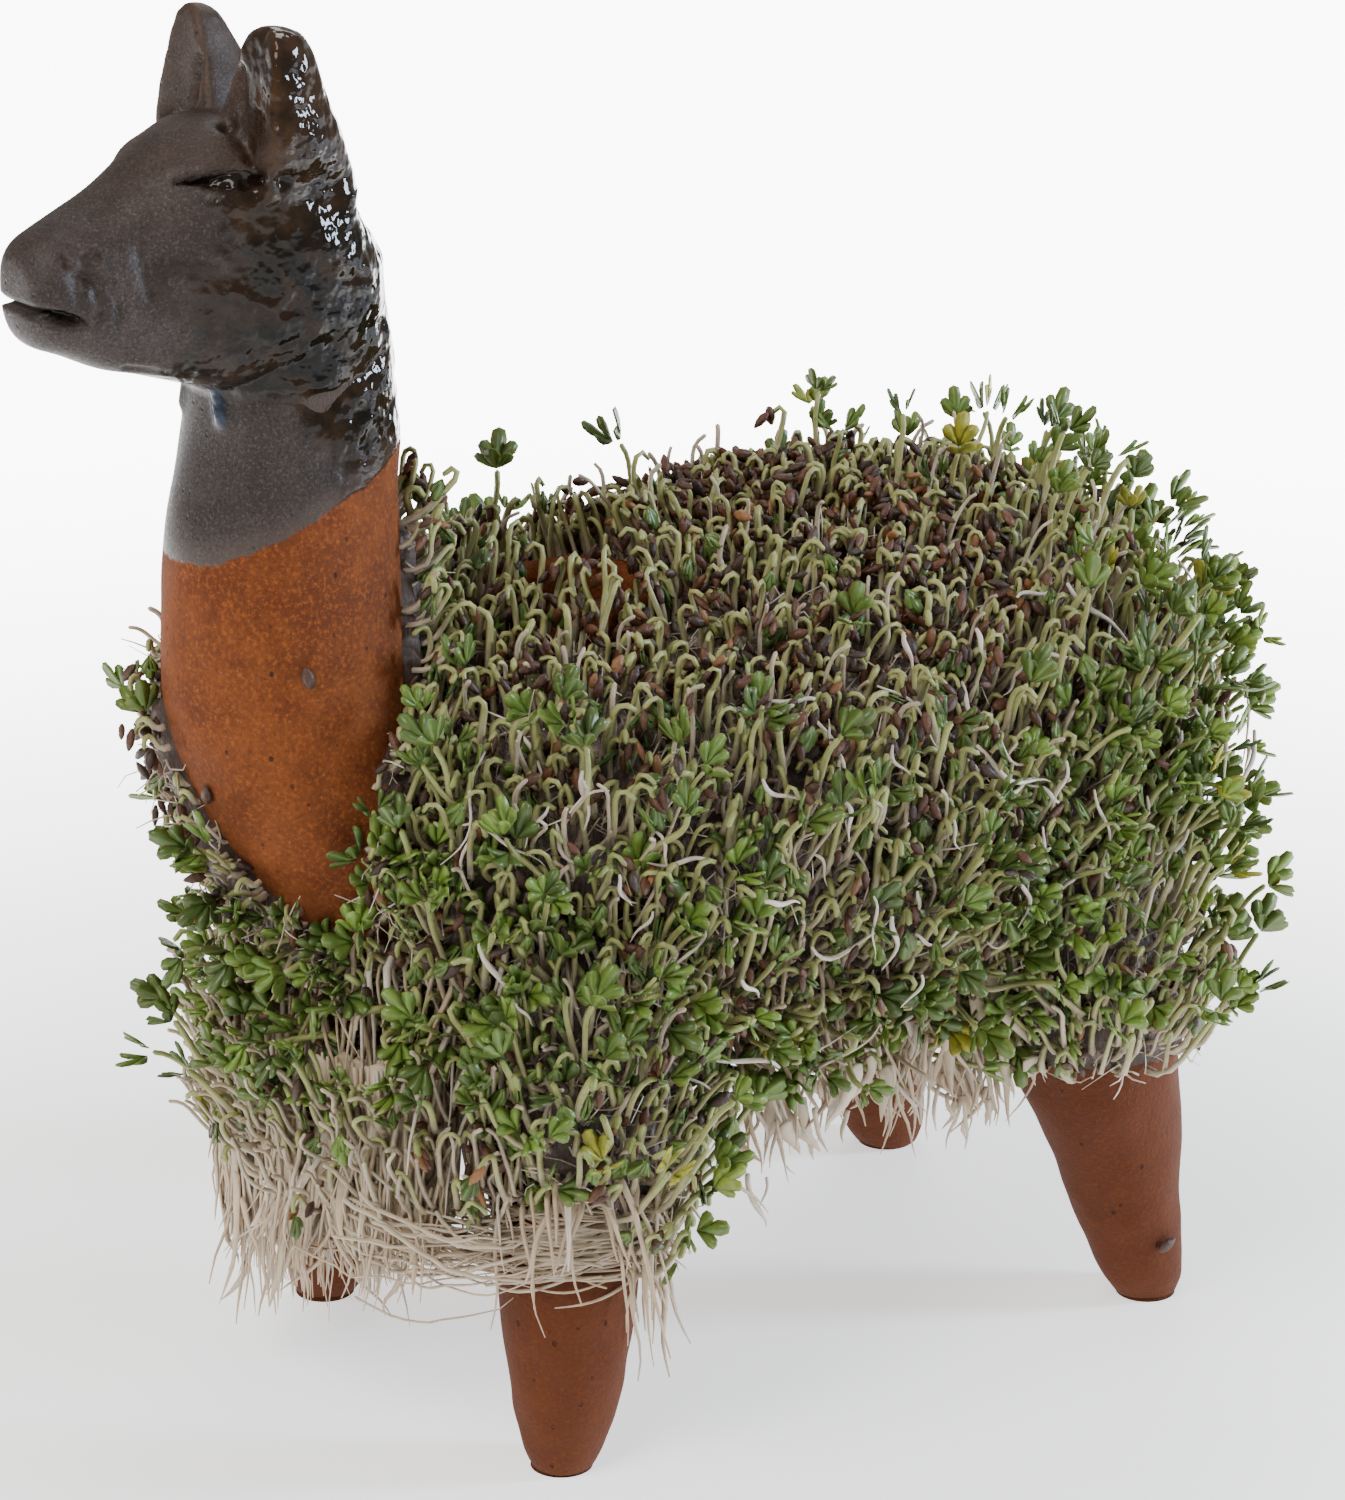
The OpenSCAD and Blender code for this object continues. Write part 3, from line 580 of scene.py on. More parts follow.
def paint_head(tree, looks):
    """Bare clay below a slanting edge, and dark glaze above it: satin in front, glossy and pebbled behind,
    and worn to brown on the ridges. The piece's tint says where ridges, hollows, the drip and pools are."""
    where = tree.place()
    x, y, z = tree.parted(where)
    clay = tree.clay(where)
    ridge, hollow, drip, pool = tree.tint()
    speckle, mottle = tree.cloud(where, 0.38, 4, 0.8), tree.cloud(where, 5, 4, 0.6)
    # The glaze's edge: a plane that dips on the near side, and wavers
    dip = tree.most(x * SIDEWAYS[0] + y * SIDEWAYS[1] - 0.0275, 0) * 0.2
    edge = x * GLAZE_SLOPE[0] + y * GLAZE_SLOPE[1] - dip
    above = z - edge - looks.glaze_edge + (tree.cloud(where, 5, 4, 0.65) - 0.5) * 0.0035
    glazed, fringe = tree.span(above, -0.0002, 0.0003), tree.span(above, 0.0035, 0.0004)
    # Gloss: behind a plane that comes forward at the cheek, under the jowl, in hollows and in the pools
    cheek = tree.span(z, 0.1455, 0.1425) * tree.span(z, 0.129, 0.133, 0, 0.0035)
    behind = y + x * GLOSS_LINE[0] + (z - 0.12) * GLOSS_LINE[2] - tree.span(z, 0.152, 0.158, 0, 0.011) + cheek
    patchy = (tree.cloud(where, 9, 3) - 0.5) * 0.016
    jowl = tree.span(y * 0.3 + z, 0.1275, 0.1235) * tree.span(y + patchy, -0.068, -0.062)
    jowl = jowl * tree.span(z, 0.1285, 0.1305)
    pool = tree.span(pool, 0.1, 0.8) * tree.span(tree.cloud(where, 2.2, 4), 0.36, 0.6)
    glossy = tree.most(tree.span(behind + patchy, -0.0438, -0.0378), jowl * 0.85,
        tree.span(hollow, 0.35, 0.75), drip, pool * 0.3)
    satin = tree.layered((0.019, 0.0115, 0.009),
        (tree.span(mottle, 0.35, 0.65), (0.034, 0.023, 0.02)),
        (tree.span(speckle, 0.52, 0.66, 0, 0.6), (0.1, 0.072, 0.062)),
        (tree.span(speckle, 0.48, 0.36, 0, 0.9), (0.008, 0.005, 0.004)))
    gloss = tree.layered((0.005, 0.0038, 0.0025), (tree.span(mottle, 0.4, 0.7), (0.028, 0.015, 0.0075)))
    warm = tree.span(ridge, 0.15, 0.8) + tree.span(z, 0.142, 0.162, 0, 0.35)
    pinhole = tree.span(tree.cells(where, 1.9), 0.16, 0.08)
    glaze = tree.layered(satin, (glossy, gloss),
        (pool * 0.8, (0.017, 0.008, 0.004)),
        (warm * tree.span(mottle, 0.2, 0.6, 0.3, 0.75), (0.066, 0.031, 0.014)),
        (fringe * 0.45, (0.085, 0.058, 0.048)),
        # Painted shade: the pinholes, which the bump also sinks, are darkened.
        (pinhole * 0.55, (0.01, 0.007, 0.006)),
        # Painted shade: the hollows, the slits of the eyes and the mouth, are darkened.
        (tree.span(hollow, 0.3, 0.9) * 0.6, (0.01, 0.007, 0.006)),
        (drip * 0.65, (0.035, 0.052, 0.085)))
    pebble = tree.cells(where, 1.8, "SMOOTH_F1") * 0.8 + tree.cloud(where, 2.6, 2) * 1.1
    height = tree.blend(glossy, speckle * 0.2 - pinhole * 0.2, pebble)
    height = tree.blend(glazed, clay["Height"] * 0.35, height + 0.45)
    rough = tree.blend(glossy, tree.span(speckle, 0.3, 0.7, 0.55, 0.38), 0.06)
    rough = tree.blend(glazed, tree.span(clay["Sand"], 0.2, 0.8, 0.75, 0.92), rough)
    shine = tree.blend(glazed, CLAY_SHINE, tree.blend(glossy, 0.32, 0.22))
    return {"Base Color": tree.layered(clay_colour(tree, clay, looks), (glazed, glaze)), "Roughness": rough,
        "Specular IOR Level": shine, "Normal": tree.bump(height, 0.55, 0.8)}


def paint_stem(tree, looks):
    """A sprout's stem: lavender white at its foot, pale green above, greener in its hook."""
    along, chance, green, _ = tree.tint()
    foot = tree.layered((0.38, 0.3, 0.23), (chance, (0.5, 0.43, 0.29)))
    top = tree.layered(looks.stem, (chance, (0.29, 0.28, 0.1)))
    colour = tree.layered(foot, (tree.span(along, 0.2, 0.75), top),
        (tree.span(along, 0.7, 1.0) * green, (0.2, 0.26, 0.06)),
        (tree.span(tree.cloud(tree.place(), 0.8, 2), 0.35, 0.7, 0, 0.25), (0.12, 0.1, 0.06)))
    return {"Base Color": colour, "Roughness": 0.42, "Subsurface Weight": 0.12, "Subsurface Scale": 0.0006}


def paint_leaf(tree, looks):
    """A seed leaf: from dark to fresh green by its own chance, some yellow, paler along its middle."""
    across, chance, green, _ = tree.tint()
    mottle = tree.cloud(tree.place(), 1.1, 3)
    colour = tree.layered(looks.leaf_dark, (chance * green, looks.leaf),
        (tree.span(chance, 0.94, 0.97, 0, 0.7), (0.42, 0.36, 0.04)),
        (tree.span(across, 0.35, 0.0, 0, 0.3), (0.3, 0.42, 0.14)),
        (tree.span(mottle, 0.4, 0.75, 0, 0.4), (0.035, 0.07, 0.018)))
    return {"Base Color": colour, "Roughness": 0.38, "Subsurface Weight": 0.1, "Subsurface Scale": 0.0006,
        "Normal": tree.bump(mottle, 0.12, 0.4)}


def paint_seed(tree, looks):
    """A wet seed coat: red-brown to nearly black, wrinkled lengthwise."""
    _, chance, pale, _ = tree.tint()
    wrinkle = tree.cloud(tree.place(), 0.7, 3, 0.7)
    colour = tree.layered((0.026, 0.011, 0.006), (chance, looks.seed),
        (pale * 0.8, (0.3, 0.13, 0.045)),
        (tree.span(wrinkle, 0.5, 0.8, 0, 0.5), (0.015, 0.008, 0.006)))
    return {"Base Color": colour, "Roughness": 0.5, "Normal": tree.bump(wrinkle, 0.3, 0.8)}


def paint_root(tree, looks):
    """Roots and root hairs: beige in bundles, white where they are fresh."""
    along, _, fresh, _ = tree.tint()
    colour = tree.layered(looks.root, (fresh, (0.63, 0.57, 0.49)),
        (tree.span(tree.cloud(tree.place(), 2.5, 3), 0.4, 0.7, 0, 0.45), (0.3, 0.22, 0.15)),
        (tree.span(along, 0.0, 0.3, 0.35, 0.0), (0.34, 0.32, 0.2)))
    return {"Base Color": colour, "Roughness": 0.5, "Subsurface Weight": 0.15, "Subsurface Scale": 0.0008}


def paint_mat(tree, looks):
    """The mat under the sprouts: grey-beige root hair in streaks, with brown seed coats pressed into it."""
    where = tree.place()
    lift, _, _, _ = tree.tint()
    hair = tree.cloud(tree.stretched(where, (1.6, 1.6, 0.4)), 0.7, 4, 0.7)
    broad = tree.cloud(where, 6, 4, 0.6)
    husk = tree.span(tree.cells(where, 2.4), 0.42, 0.3) * tree.span(broad, 0.42, 0.56)
    colour = tree.layered((0.11, 0.07, 0.055), (tree.span(hair, 0.35, 0.7), looks.root_hair),
        (tree.span(broad, 0.58, 0.44, 0, 0.8), (0.055, 0.034, 0.024)),
        (husk, (0.05, 0.022, 0.014)),
        # Painted shade: darker in the mat's dips and where it thins towards its edge.
        (tree.span(lift, 0.6, 0.1), (0.05, 0.03, 0.021)))
    return {"Base Color": colour, "Roughness": 0.75, "Normal": tree.bump(hair + husk * 0.8, 0.6, 0.8)}


def paint_floor(tree, stage):
    """A white floor that glows by itself, less in front of the object, close by it and far to its sides."""
    x, y, _ = tree.parted(tree.place())
    ahead = x * SIDEWAYS[0] + y * SIDEWAYS[1]
    away = tree.math("SQRT", x * x + y * y)
    beside = tree.math("ABSOLUTE", x * -SIDEWAYS[1] + y * SIDEWAYS[0])
    # Painted light: the floor glows though it is no lamp, and its glow dims close by the object, which paints
    # a soft shadow round it.
    glow = tree.span(ahead, 0.16, 0.06, 0.1, 1) * stage.glow * tree.span(away, 0.06, 0.45, 0.11, 1)
    return {"Base Color": (*stage.floor, 1.0), "Roughness": 0.9, "Emission Color": (1.0, 1.0, 1.0, 1.0),
        "Emission Strength": glow * tree.span(beside, 0.2, 0.42, 1, 0.04)}


# Shapes of growing things

STEM_STATIONS = np.array([0, 0.15, 0.3, 0.45, 0.58, 0.67, 0.75, 0.83, 0.91, 1.0])
ROOT_STATIONS = np.linspace(0, 1, 8)
LOBE_STATIONS, LOBE_WIDTHS, LOBE_THICK = np.array([0.28, 0.66, 0.92]), np.array([0.5, 1.0, 0.78]), 0.14
SEED_STATIONS, SEED_WIDTHS = np.array([0.1, 0.36, 0.68, 0.92]), np.array([0.5, 1.0, 0.86, 0.36])


def walked(root, d, gaps):
    """Lines from their roots: each move is the mean of the directions at its two ends, times its gap."""
    moves = (d[:, 1:] + d[:, :-1]) / 2 * gaps
    return root[:, None] + np.concatenate([np.zeros((len(root), 1, 3)), np.cumsum(moves, 1)], 1)


def stem_lines(root, normal, aim, nod, length, hook, hook_share, wave):
    """Centrelines of stems, and their directions: each leaves its root along the clay's normal, turns to its
    aim by a smooth step, and over its last share turns about the axis across aim and nod by its hook angle,
    with a sideways wave on top."""
    t = STEM_STATIONS[None, :, None]
    turn = step(t, 0.0, 0.5)
    d = unit(normal[:, None] * (1 - turn) + aim[:, None] * turn)
    axis = unit(np.cross(aim, nod))[:, None]
    angle = (hook[:, None] * step(STEM_STATIONS[None], 1 - hook_share[:, None], 1.0))[..., None]
    along = axis * (axis * d).sum(-1, keepdims=True)
    d = d * np.cos(angle) + np.cross(axis, d) * np.sin(angle) + along * (1 - np.cos(angle))
    d = unit(d + wave[:, None] * np.sin(2 * np.pi * 1.2 * t + 9 * wave[:, None, :1]))
    return walked(root, d, np.diff(STEM_STATIONS)[None, :, None] * length[:, None, None]), d, axis[:, 0]


def capped(rings, first, last, way=1):
    """Closed shapes from their rings (n, k, sides, 3) and end points: all their points, and the faces of one.
    way is -1 where the rings run the other way round."""
    n, k, sides = rings.shape[:3]
    points = np.concatenate([rings.reshape(n, k * sides, 3), first[:, None], last[:, None]], 1)
    return points, [f[:, ::way] for f in grid_faces(k, sides)]


def tubes(line, d, axis, radius, sides, flat=1.0):
    """Tubes along centrelines (n, k, 3), with radius (n, k): sides points a ring, in a frame carried by the
    given axis, and a pole at either end. flat is the thickness of a tube as a share of its width."""
    b = unit(axis[:, None] - (axis[:, None] * d).sum(-1, keepdims=True) * d)
    a = np.cross(b, d)
    turn = 2 * np.pi * np.arange(sides)[:, None] / sides
    ring = flat * np.cos(turn) * a[:, :, None] - np.sin(turn) * b[:, :, None]
    rings = line[:, :, None] + radius[:, :, None, None] * ring
    first, last = line[:, 0] - 0.5 * d[:, 0] * radius[:, :1], line[:, -1] + d[:, -1] * radius[:, -1:]
    return capped(rings, first, last)


def lobes(root, out, side, length, width, curl):
    """Leaf lobes: each is a lens in cross-section, widest past its middle, that ends in points and curls back
    from its upper face by the square of the way along."""
    face = unit(np.cross(out, side))
    t = LOBE_STATIONS[None, :, None]
    mid = root[:, None] + out[:, None] * t * length[:, None, None]
    mid = mid - face[:, None] * t**2 * curl[:, None, None]
    half = (LOBE_WIDTHS[None] * width[:, None] / 2)[..., None]
    up, sag, wide = LOBE_THICK * face[:, None], face[:, None] * half * 0.25, side[:, None] * half
    rings = np.stack([mid + wide, mid + up - sag, mid - wide, mid - up - sag], 2)
    return capped(rings, root, root + out * length[:, None] - face * curl[:, None], -1)


def seeds(root, out, side, length, width):
    """Seed coats: teardrops of six sides round their axis, a little flat, from a blunt end to a point."""
    turn = 2 * np.pi * np.arange(6)[:, None] / 6
    mid = root[:, None] + out[:, None] * SEED_STATIONS[None, :, None] * length[:, None, None]
    r = (SEED_WIDTHS[None] * width[:, None] / 2)[..., None, None]
    side, other = side[:, None, None], np.cross(out, side)[:, None, None]
    rings = mid[:, :, None] + r * (np.cos(turn) * side + 0.72 * np.sin(turn) * other)
    return capped(rings, root, root + out * length[:, None], -1)


def tinted(own, chance, third):
    """The tint of many shapes alike: a number for each point of a shape, then two for each shape."""
    return xyz(*np.broadcast_arrays(own, chance[:, None], third[:, None]))


def tube_tint(stations, sides, chance, third):
    """The tint of tubes: each point's own number is how far along it is."""
    return tinted(np.concatenate([np.repeat(stations, sides), [0, 1]]), chance, third)


def grown_piece(name, shape, tint, material, slot, *nodes):
    """One piece of many shapes alike: shape is the points (n, k, 3) of all and the faces of one."""
    points, faces = shape
    n, k = points.shape[:2]
    base = (np.arange(n) * k)[:, None, None]
    faces = [(f + base).reshape(-1, f.shape[-1]) for f in faces]
    seated(mesh_object(name, points.reshape(-1, 3), faces, material, tint.reshape(-1, 3)), slot, *nodes)


def root_piece(name, line, axis, radius, sides, tint, flat=1.0):
    """One piece of roots along lines."""
    shape = tubes(line, unit(np.gradient(line, axis=1)), axis, radius, sides, flat)
    grown_piece(name, shape, tint, bpy.data.materials["Cress root"], "roots")


# Where the coat grows

def scattered(surface, density, rng, grow=0.0):
    """Points spread evenly over a surface, so many to the square millimetre: a two-number sequence that
    fills the square evenly, thinned by the area that each place stands for."""
    e = 1e-3
    u, v = rng.random(4000) * 0.98 + 0.01, rng.random(4000)
    def area(u, v):
        along = surface(np.clip(u + e, 0, 1), v, grow) - surface(np.clip(u - e, 0, 1), v, grow)
        around = surface(u, v + e, grow) - surface(u, v - e, grow)
        return np.linalg.norm(np.cross(along, around), axis=-1) / (4 * e * e)
    top = area(u, v).max()
    k = np.arange(int(top * density))
    u = (0.5 + k * 0.7548776662466927) % 1 * 0.98 + 0.01
    v = (0.5 + k * 0.5698402909980532) % 1
    keep = rng.random(len(k)) * top < area(u, v)
    u, v = u[keep], v[keep]
    jitter = 0.35 / math.sqrt(density)
    p = surface(u, v, grow)
    return u, v, p + jitter * rng.normal(size=p.shape) * np.array([1, 1, 0.3]), facing(surface, u, v)


def hem_path(s, inward):
    """Places on the coat's lower edge, s millimetres from the middle of the chest to its left: an arc round
    the chest, then straight back along the flank. inward draws it towards the middle of the belly."""
    r = HEM_R - inward
    angle = np.clip(s / HEM_R, -math.pi / 2, math.pi / 2)
    back = np.maximum(np.abs(s) - HEM_R * math.pi / 2, 0)
    belly = 3.5 * step(back, 0, 25) * (1 - step(back, 55, 80))
    return (r + belly) * np.sin(angle), -25 - r * np.abs(np.cos(angle)) ** 0.8 + back


def skirt_surface(u, v, grow=0.0):
    """An upright band round the chest just outside the hem: u runs round it from the right, v up it."""
    x, y = hem_path(-46 + 98 * u, 4 - grow)
    return xyz(x, y, 31 + 17 * v + 0 * x)


# How far inside the coat's edge points of each bed lie, in millimetres

def skirt_coat(p, u, v):
    return np.where(v < 0.96, 5.0, -1.0)


def from_ridge(v):
    """Degrees round the body from the ridge of its back."""
    return np.abs((v * 360 - 90 + 180) % 360 - 180)


def from_neck_front(v):
    """Degrees round the neck from its front."""
    return (-v * 360 + 180) % 360 - 180


def body_coat(p, u, v):
    """Clear of the other clay, and above the hem but for the chest and the rump."""
    hem = (HEM_ANGLE - from_ridge(v)) * 0.5
    ends = np.maximum((0.31 - u) * 120, (u - 0.835) * 120)
    return np.minimum.reduce([off_legs(p), off_neck(p) - 0.5, off_rim(p), np.maximum(hem, ends)])


def neck_coat(p, u, v):
    """Below the bib's edge."""
    share = spline_at(NECK_SHARES, u)[..., 0]
    climb = np.interp(from_neck_front(v), COAT_SHARES[:, 0], COAT_SHARES[:, 1])
    return np.minimum((climb - share) * (NECK_TOP_Z - NECK_FOOT_Z), off_body(p) + 1.5)


def leg_coat(leg):
    """The coat comes lower on the outside of a front leg than on a rear leg's haunch."""
    fore = leg[1] < 0
    foot, inner = (0.43, -0.35) if fore else (0.5, -0.2)
    def inside(p, u, v):
        share = spline_at(leg[4], u)[..., 0]
        out, back = leg[0] * np.cos(2 * np.pi * v), -np.sin(2 * np.pi * v)
        edge = foot + fore * (0.1 * step(back, 0.2, -0.5) - 0.07 * step(back, -0.2, 0.6)) + 0.12 * (out < 0.2)
        above = (share - edge) * LEG_TOP_Z
        return np.minimum.reduce([above, (out - inner) * 12, off_body(p) + 1.5, off_neck(p)])
    return inside


def beds():
    """The clay that the coat covers: names, surfaces and coats."""
    legs = [(name, leg_surface(leg), leg_coat(leg)) for name, leg in LEGS.items()]
    return [("body", body_surface, body_coat), ("neck", neck_surface, neck_coat)] + legs


def regions_on(bed, u, v):
    """The node of the part that each root on a bed belongs to."""
    if bed == "neck":
        return np.where(np.abs(from_neck_front(v)) < 75, "chest_sprouts", "collar_sprouts").astype(object)
    if bed == "skirt":
        return np.where(u < 0.47, "right_leg_sprouts", "left_leg_sprouts").astype(object)
    if bed in LEGS:
        end, side, _ = bed.split("_")
        return np.full(len(u), side + ("_leg_sprouts" if end == "front" else "_flank_sprouts"), object)
    # The part has 20 rows of cells along the body, and a cell for every 12 degrees round it
    row = (u * 180 - 4) / 172 * 20
    ridge = from_ridge(v) / 12
    left = np.cos(2 * np.pi * v) > 0
    names = np.where(left, "left_flank_sprouts", "right_flank_sprouts").astype(object)
    names[(ridge < 3) & (row >= 10)] = "back_sprouts"
    names[(ridge < 3) & (row < 5)] = "withers_sprouts"
    hem = ridge > 10
    names[hem & left] = "left_hanging_roots"
    names[hem & ~left] = "right_hanging_roots"
    names[hem & (row < 6)] = "chest_roots"
    names[row >= 17] = "rump_sprouts"
    return names


def greenness(p):
    """Where the coat has opened its leaves: most behind, low down and on the neck, least on the back."""
    low, rear, front = step(p[:, 2], 92, 60), step(p[:, 1], 22, 66), step(p[:, 1], -20, -48)
    return np.clip(0.12 + 0.42 * low + 0.42 * rear + 0.22 * front + 0.3 * noise(p, 15, 3), 0.03, 0.95)


def seediness(p):
    """Where hooks still carry their seed coats: most on the back, in clumps."""
    top = (0.5 * step(p[:, 2], 74, 90) + 0.5 * step(p[:, 2], 92, 101)) * step(p[:, 1], -34, -8)
    return np.clip(0.2 + 0.62 * top + 0.34 * noise(p, 11, 9) - 0.16 * step(p[:, 2], 62, 45), 0.03, 0.92)


class Growth:
    """All sprouts: their roots by the part's nodes and patches, and the stem that stands on each."""

    def __init__(self, coat):
        rng = self.rng = np.random.default_rng(coat.chance)
        density = (1 / (coat.spacing / MM)) ** 2
        found = []
        for bed, surface, inside in [*beds(), ("skirt", skirt_surface, skirt_coat)]:
            u, v, p, n = scattered(surface, density, rng, 1.0)
            keep = inside(p, u, v) > -0.1
            p, n, u, v = p[keep], n[keep], u[keep], v[keep]
            found.append((p, n, regions_on(bed, u, v), np.full(len(p), bed == "skirt")))
        self.root, self.normal, self.region, self.skirt = (np.concatenate(part) for part in zip(*found))
        end = np.where(self.root[:, 1] < BODY_Y - 6, "_fore", "_rear")
        self.patch = np.array([region + which if "flank" in region else region
            for region, which in zip(self.region, end)], object)
        self.green = greenness(self.root)
        self.chance = rng.random(len(self.root))
        self.grow_stems(coat.stem_length / MM)

    def grow_stems(self, usual):
        """Kinds of sprout: 0 short hook with its seed coat, 1 hook with folded leaves, 2 open leaves,
        3 a bare white stem."""
        rng, n = self.rng, len(self.root)
        p, normal, green = self.root, self.normal, self.green
        x, y, z = p.T
        roll = rng.random(n)
        withers = step(z, 80, 92) * step(y, 32, 22)
        opened = (0.03 + 0.3 * green**1.5) * (1 - 0.9 * withers)
        hooked = np.where(roll < opened + seediness(p), 0, np.where(roll > 0.9, 3, 1))
        kind = np.where(roll < opened, 2, hooked)
        kind[self.skirt & (rng.random(n) < 0.62)] = 3
        steep = 1 - step(normal[:, 2], 0.2, 0.8)
        length = usual * np.choose(kind, [0.74, 0.94, 1.1, 0.95]) * (0.66 + 0.62 * rng.random(n))
        length *= 0.93 + 0.2 * green + 0.1 * (kind == 0) * (1 - steep)
        rim = step(off_rim(p), 9, 3)
        length *= 1 - 0.1 * withers * (1 - rim) + 0.3 * rim
        length[(rng.random(n) < 0.025) & (y > 28)] *= 1.45
        length *= (1 - 0.28 * step(y, -42, -54)) * (1 - 0.12 * step(y, 46, 66))
        length *= 1 - 0.35 * step(y, -38, -44) * step(z, 52, 60)
        tilt = rng.normal(size=(n, 3)) + 0.7 * xyz(noise(p, 6, 61), noise(p, 6, 62), 0 * roll)
        outward = 0.34 + 0.08 * step(y, 40, 66) + 0.24 * rng.random(n)
        middle = unit(np.array([0, FILL_Y, 0]) - p * [1, 1, 0])
        aim = unit(UP + outward[:, None] * normal + 0.2 * tilt + 0.35 * rim[:, None] * middle)
        under = step(normal[:, 2], -0.25, -0.75)[:, None]
        aim = unit(aim * (1 - under) + under * (0.3 * UP + normal * [1, 1, 0.15] + 0.3 * tilt))
        nod = unit(rng.normal(size=(n, 3)) * [1, 1, 0.35] + 0.75 * normal)
        hook = np.choose(kind, [3.0, 3.05, 0.5, 0.9]) * (0.72 + 0.45 * rng.random(n))
        share = np.clip(np.choose(kind, [3.2, 3.5, 2.6, 3.0]) / length, 0.2, 0.6)
        wave = 0.13 * rng.normal(size=(n, 3))
        line, d, axis = stem_lines(p - 0.8 * normal, normal, aim, nod, length, hook, share, wave)
        # None leans out sideways past the widest that the coat may be
        out = np.abs(line[..., 0]).max(1)
        pull = np.clip((WIDEST - np.abs(x)) / np.maximum(out - np.abs(x), 0.1), 0.2, 1)[:, None]
        line[..., 0] = p[:, :1] + (line[..., 0] - p[:, :1]) * pull
        self.kind, self.line, self.way, self.axis = kind, line, d, axis

    def pieces(self, ending, shape, tint, owner, material, slot):
        """One piece for each patch: owner is each shape's sprout. Stems stand for the patch's solid."""
        points, faces = shape
        patch = self.patch[owner]
        for name in sorted(set(patch)):
            mine = patch == name
            nodes = self.region[owner[mine][:1]] if ending == "_stems" else ()
            grown_piece(name + ending, (points[mine], faces), tint[mine], material, slot, *nodes)


# Settings

def colour_setting(name, description, default):
    """A colour that a user can change."""
    return bpy.props.FloatVectorProperty(name=name, description=description, subtype="COLOR", size=3,
        default=default, min=0, max=1)


def length_setting(name, description, default, low, high):
    """A length that a user can change, in metres."""
    return bpy.props.FloatProperty(name=name, description=description, unit="LENGTH", default=default,
        min=low, max=high)


class LlamaLooks(bpy.types.PropertyGroup):
    clay: colour_setting("Clay", "Lighter brown of the bare clay", (0.16, 0.042, 0.0072))
    clay_dark: colour_setting("Dark clay", "Darker brown of the bare clay", (0.095, 0.022, 0.004))
    glaze_edge: length_setting("Glaze edge",
        "Height of the glaze's lower edge, carried on to the middle of the planter", 0.134, 0.12, 0.145)
    stem: colour_setting("Stem", "Pale green of the stems", (0.36, 0.37, 0.14))
    leaf: colour_setting("Fresh leaf", "Green of the brightest leaves", (0.205, 0.325, 0.042))
    leaf_dark: colour_setting("Dark leaf", "Green of the darkest leaves", (0.055, 0.09, 0.018))
    seed: colour_setting("Seed coat", "Red-brown of the wet seed coats", (0.105, 0.034, 0.012))
    root: colour_setting("Root", "Beige of the hanging roots", (0.48, 0.375, 0.25))
    root_hair: colour_setting("Root hair", "Grey of the matted root hair", (0.42, 0.35, 0.32))


class LlamaClay(bpy.types.PropertyGroup):
    voxel: length_setting("Fineness", "Size of the cubes that the head's and neck's fused skin is sampled on",
        0.00043, 0.0003, 0.002)
    unevenness: length_setting("Unevenness", "How far the hand-made clay strays from a true surface",
        0.00035, 0, 0.001)


class LlamaCoat(bpy.types.PropertyGroup):
    spacing: length_setting("Spacing", "Distance between neighbouring sprouts", 0.00205, 0.0018, 0.006)
    stem_length: length_setting("Stem length", "Length of a usual sprout's stem", 0.0122, 0.004, 0.016)
    stem_width: length_setting("Stem width", "Diameter of a sprout's stem", 0.00084, 0.0004, 0.0014)
    leaf_length: length_setting("Leaf length", "Length of a leaf's middle lobe", 0.0042, 0.002, 0.006)
    seed_length: length_setting("Seed length", "Length of a wet seed coat", 0.0027, 0.0015, 0.004)
    mat: length_setting("Mat", "Thickness of the mat of roots and seeds on the clay", 0.002, 0.0005, 0.003)
    root_length: length_setting("Root length", "Length of the longest hanging roots", 0.026, 0.005, 0.03)
    chance: bpy.props.IntProperty(name="Chance", description="Seed of everything that grows by chance",
        default=7, min=0)


class LlamaStage(bpy.types.PropertyGroup):
    floor: colour_setting("Floor", "Colour of the floor", (0.9, 0.9, 0.9))
    glow: bpy.props.FloatProperty(name="Floor glow", description="How brightly the floor shines by itself",
        default=9, min=0, max=20)
    lens: bpy.props.FloatProperty(name="Lens", description="Focal length on a sensor of 36 mm",
        subtype="DISTANCE_CAMERA", default=120, min=50, max=200)


# Pieces

# The slit of the left eye and the drip of glaze: from a point to a point, in millimetres
EYE = (7, -64.6, 154.6), (11.8, -55.4, 154.9)
DRIP = (3.9, -59.4, 129.6), (4.5, -58.9, 126.6)
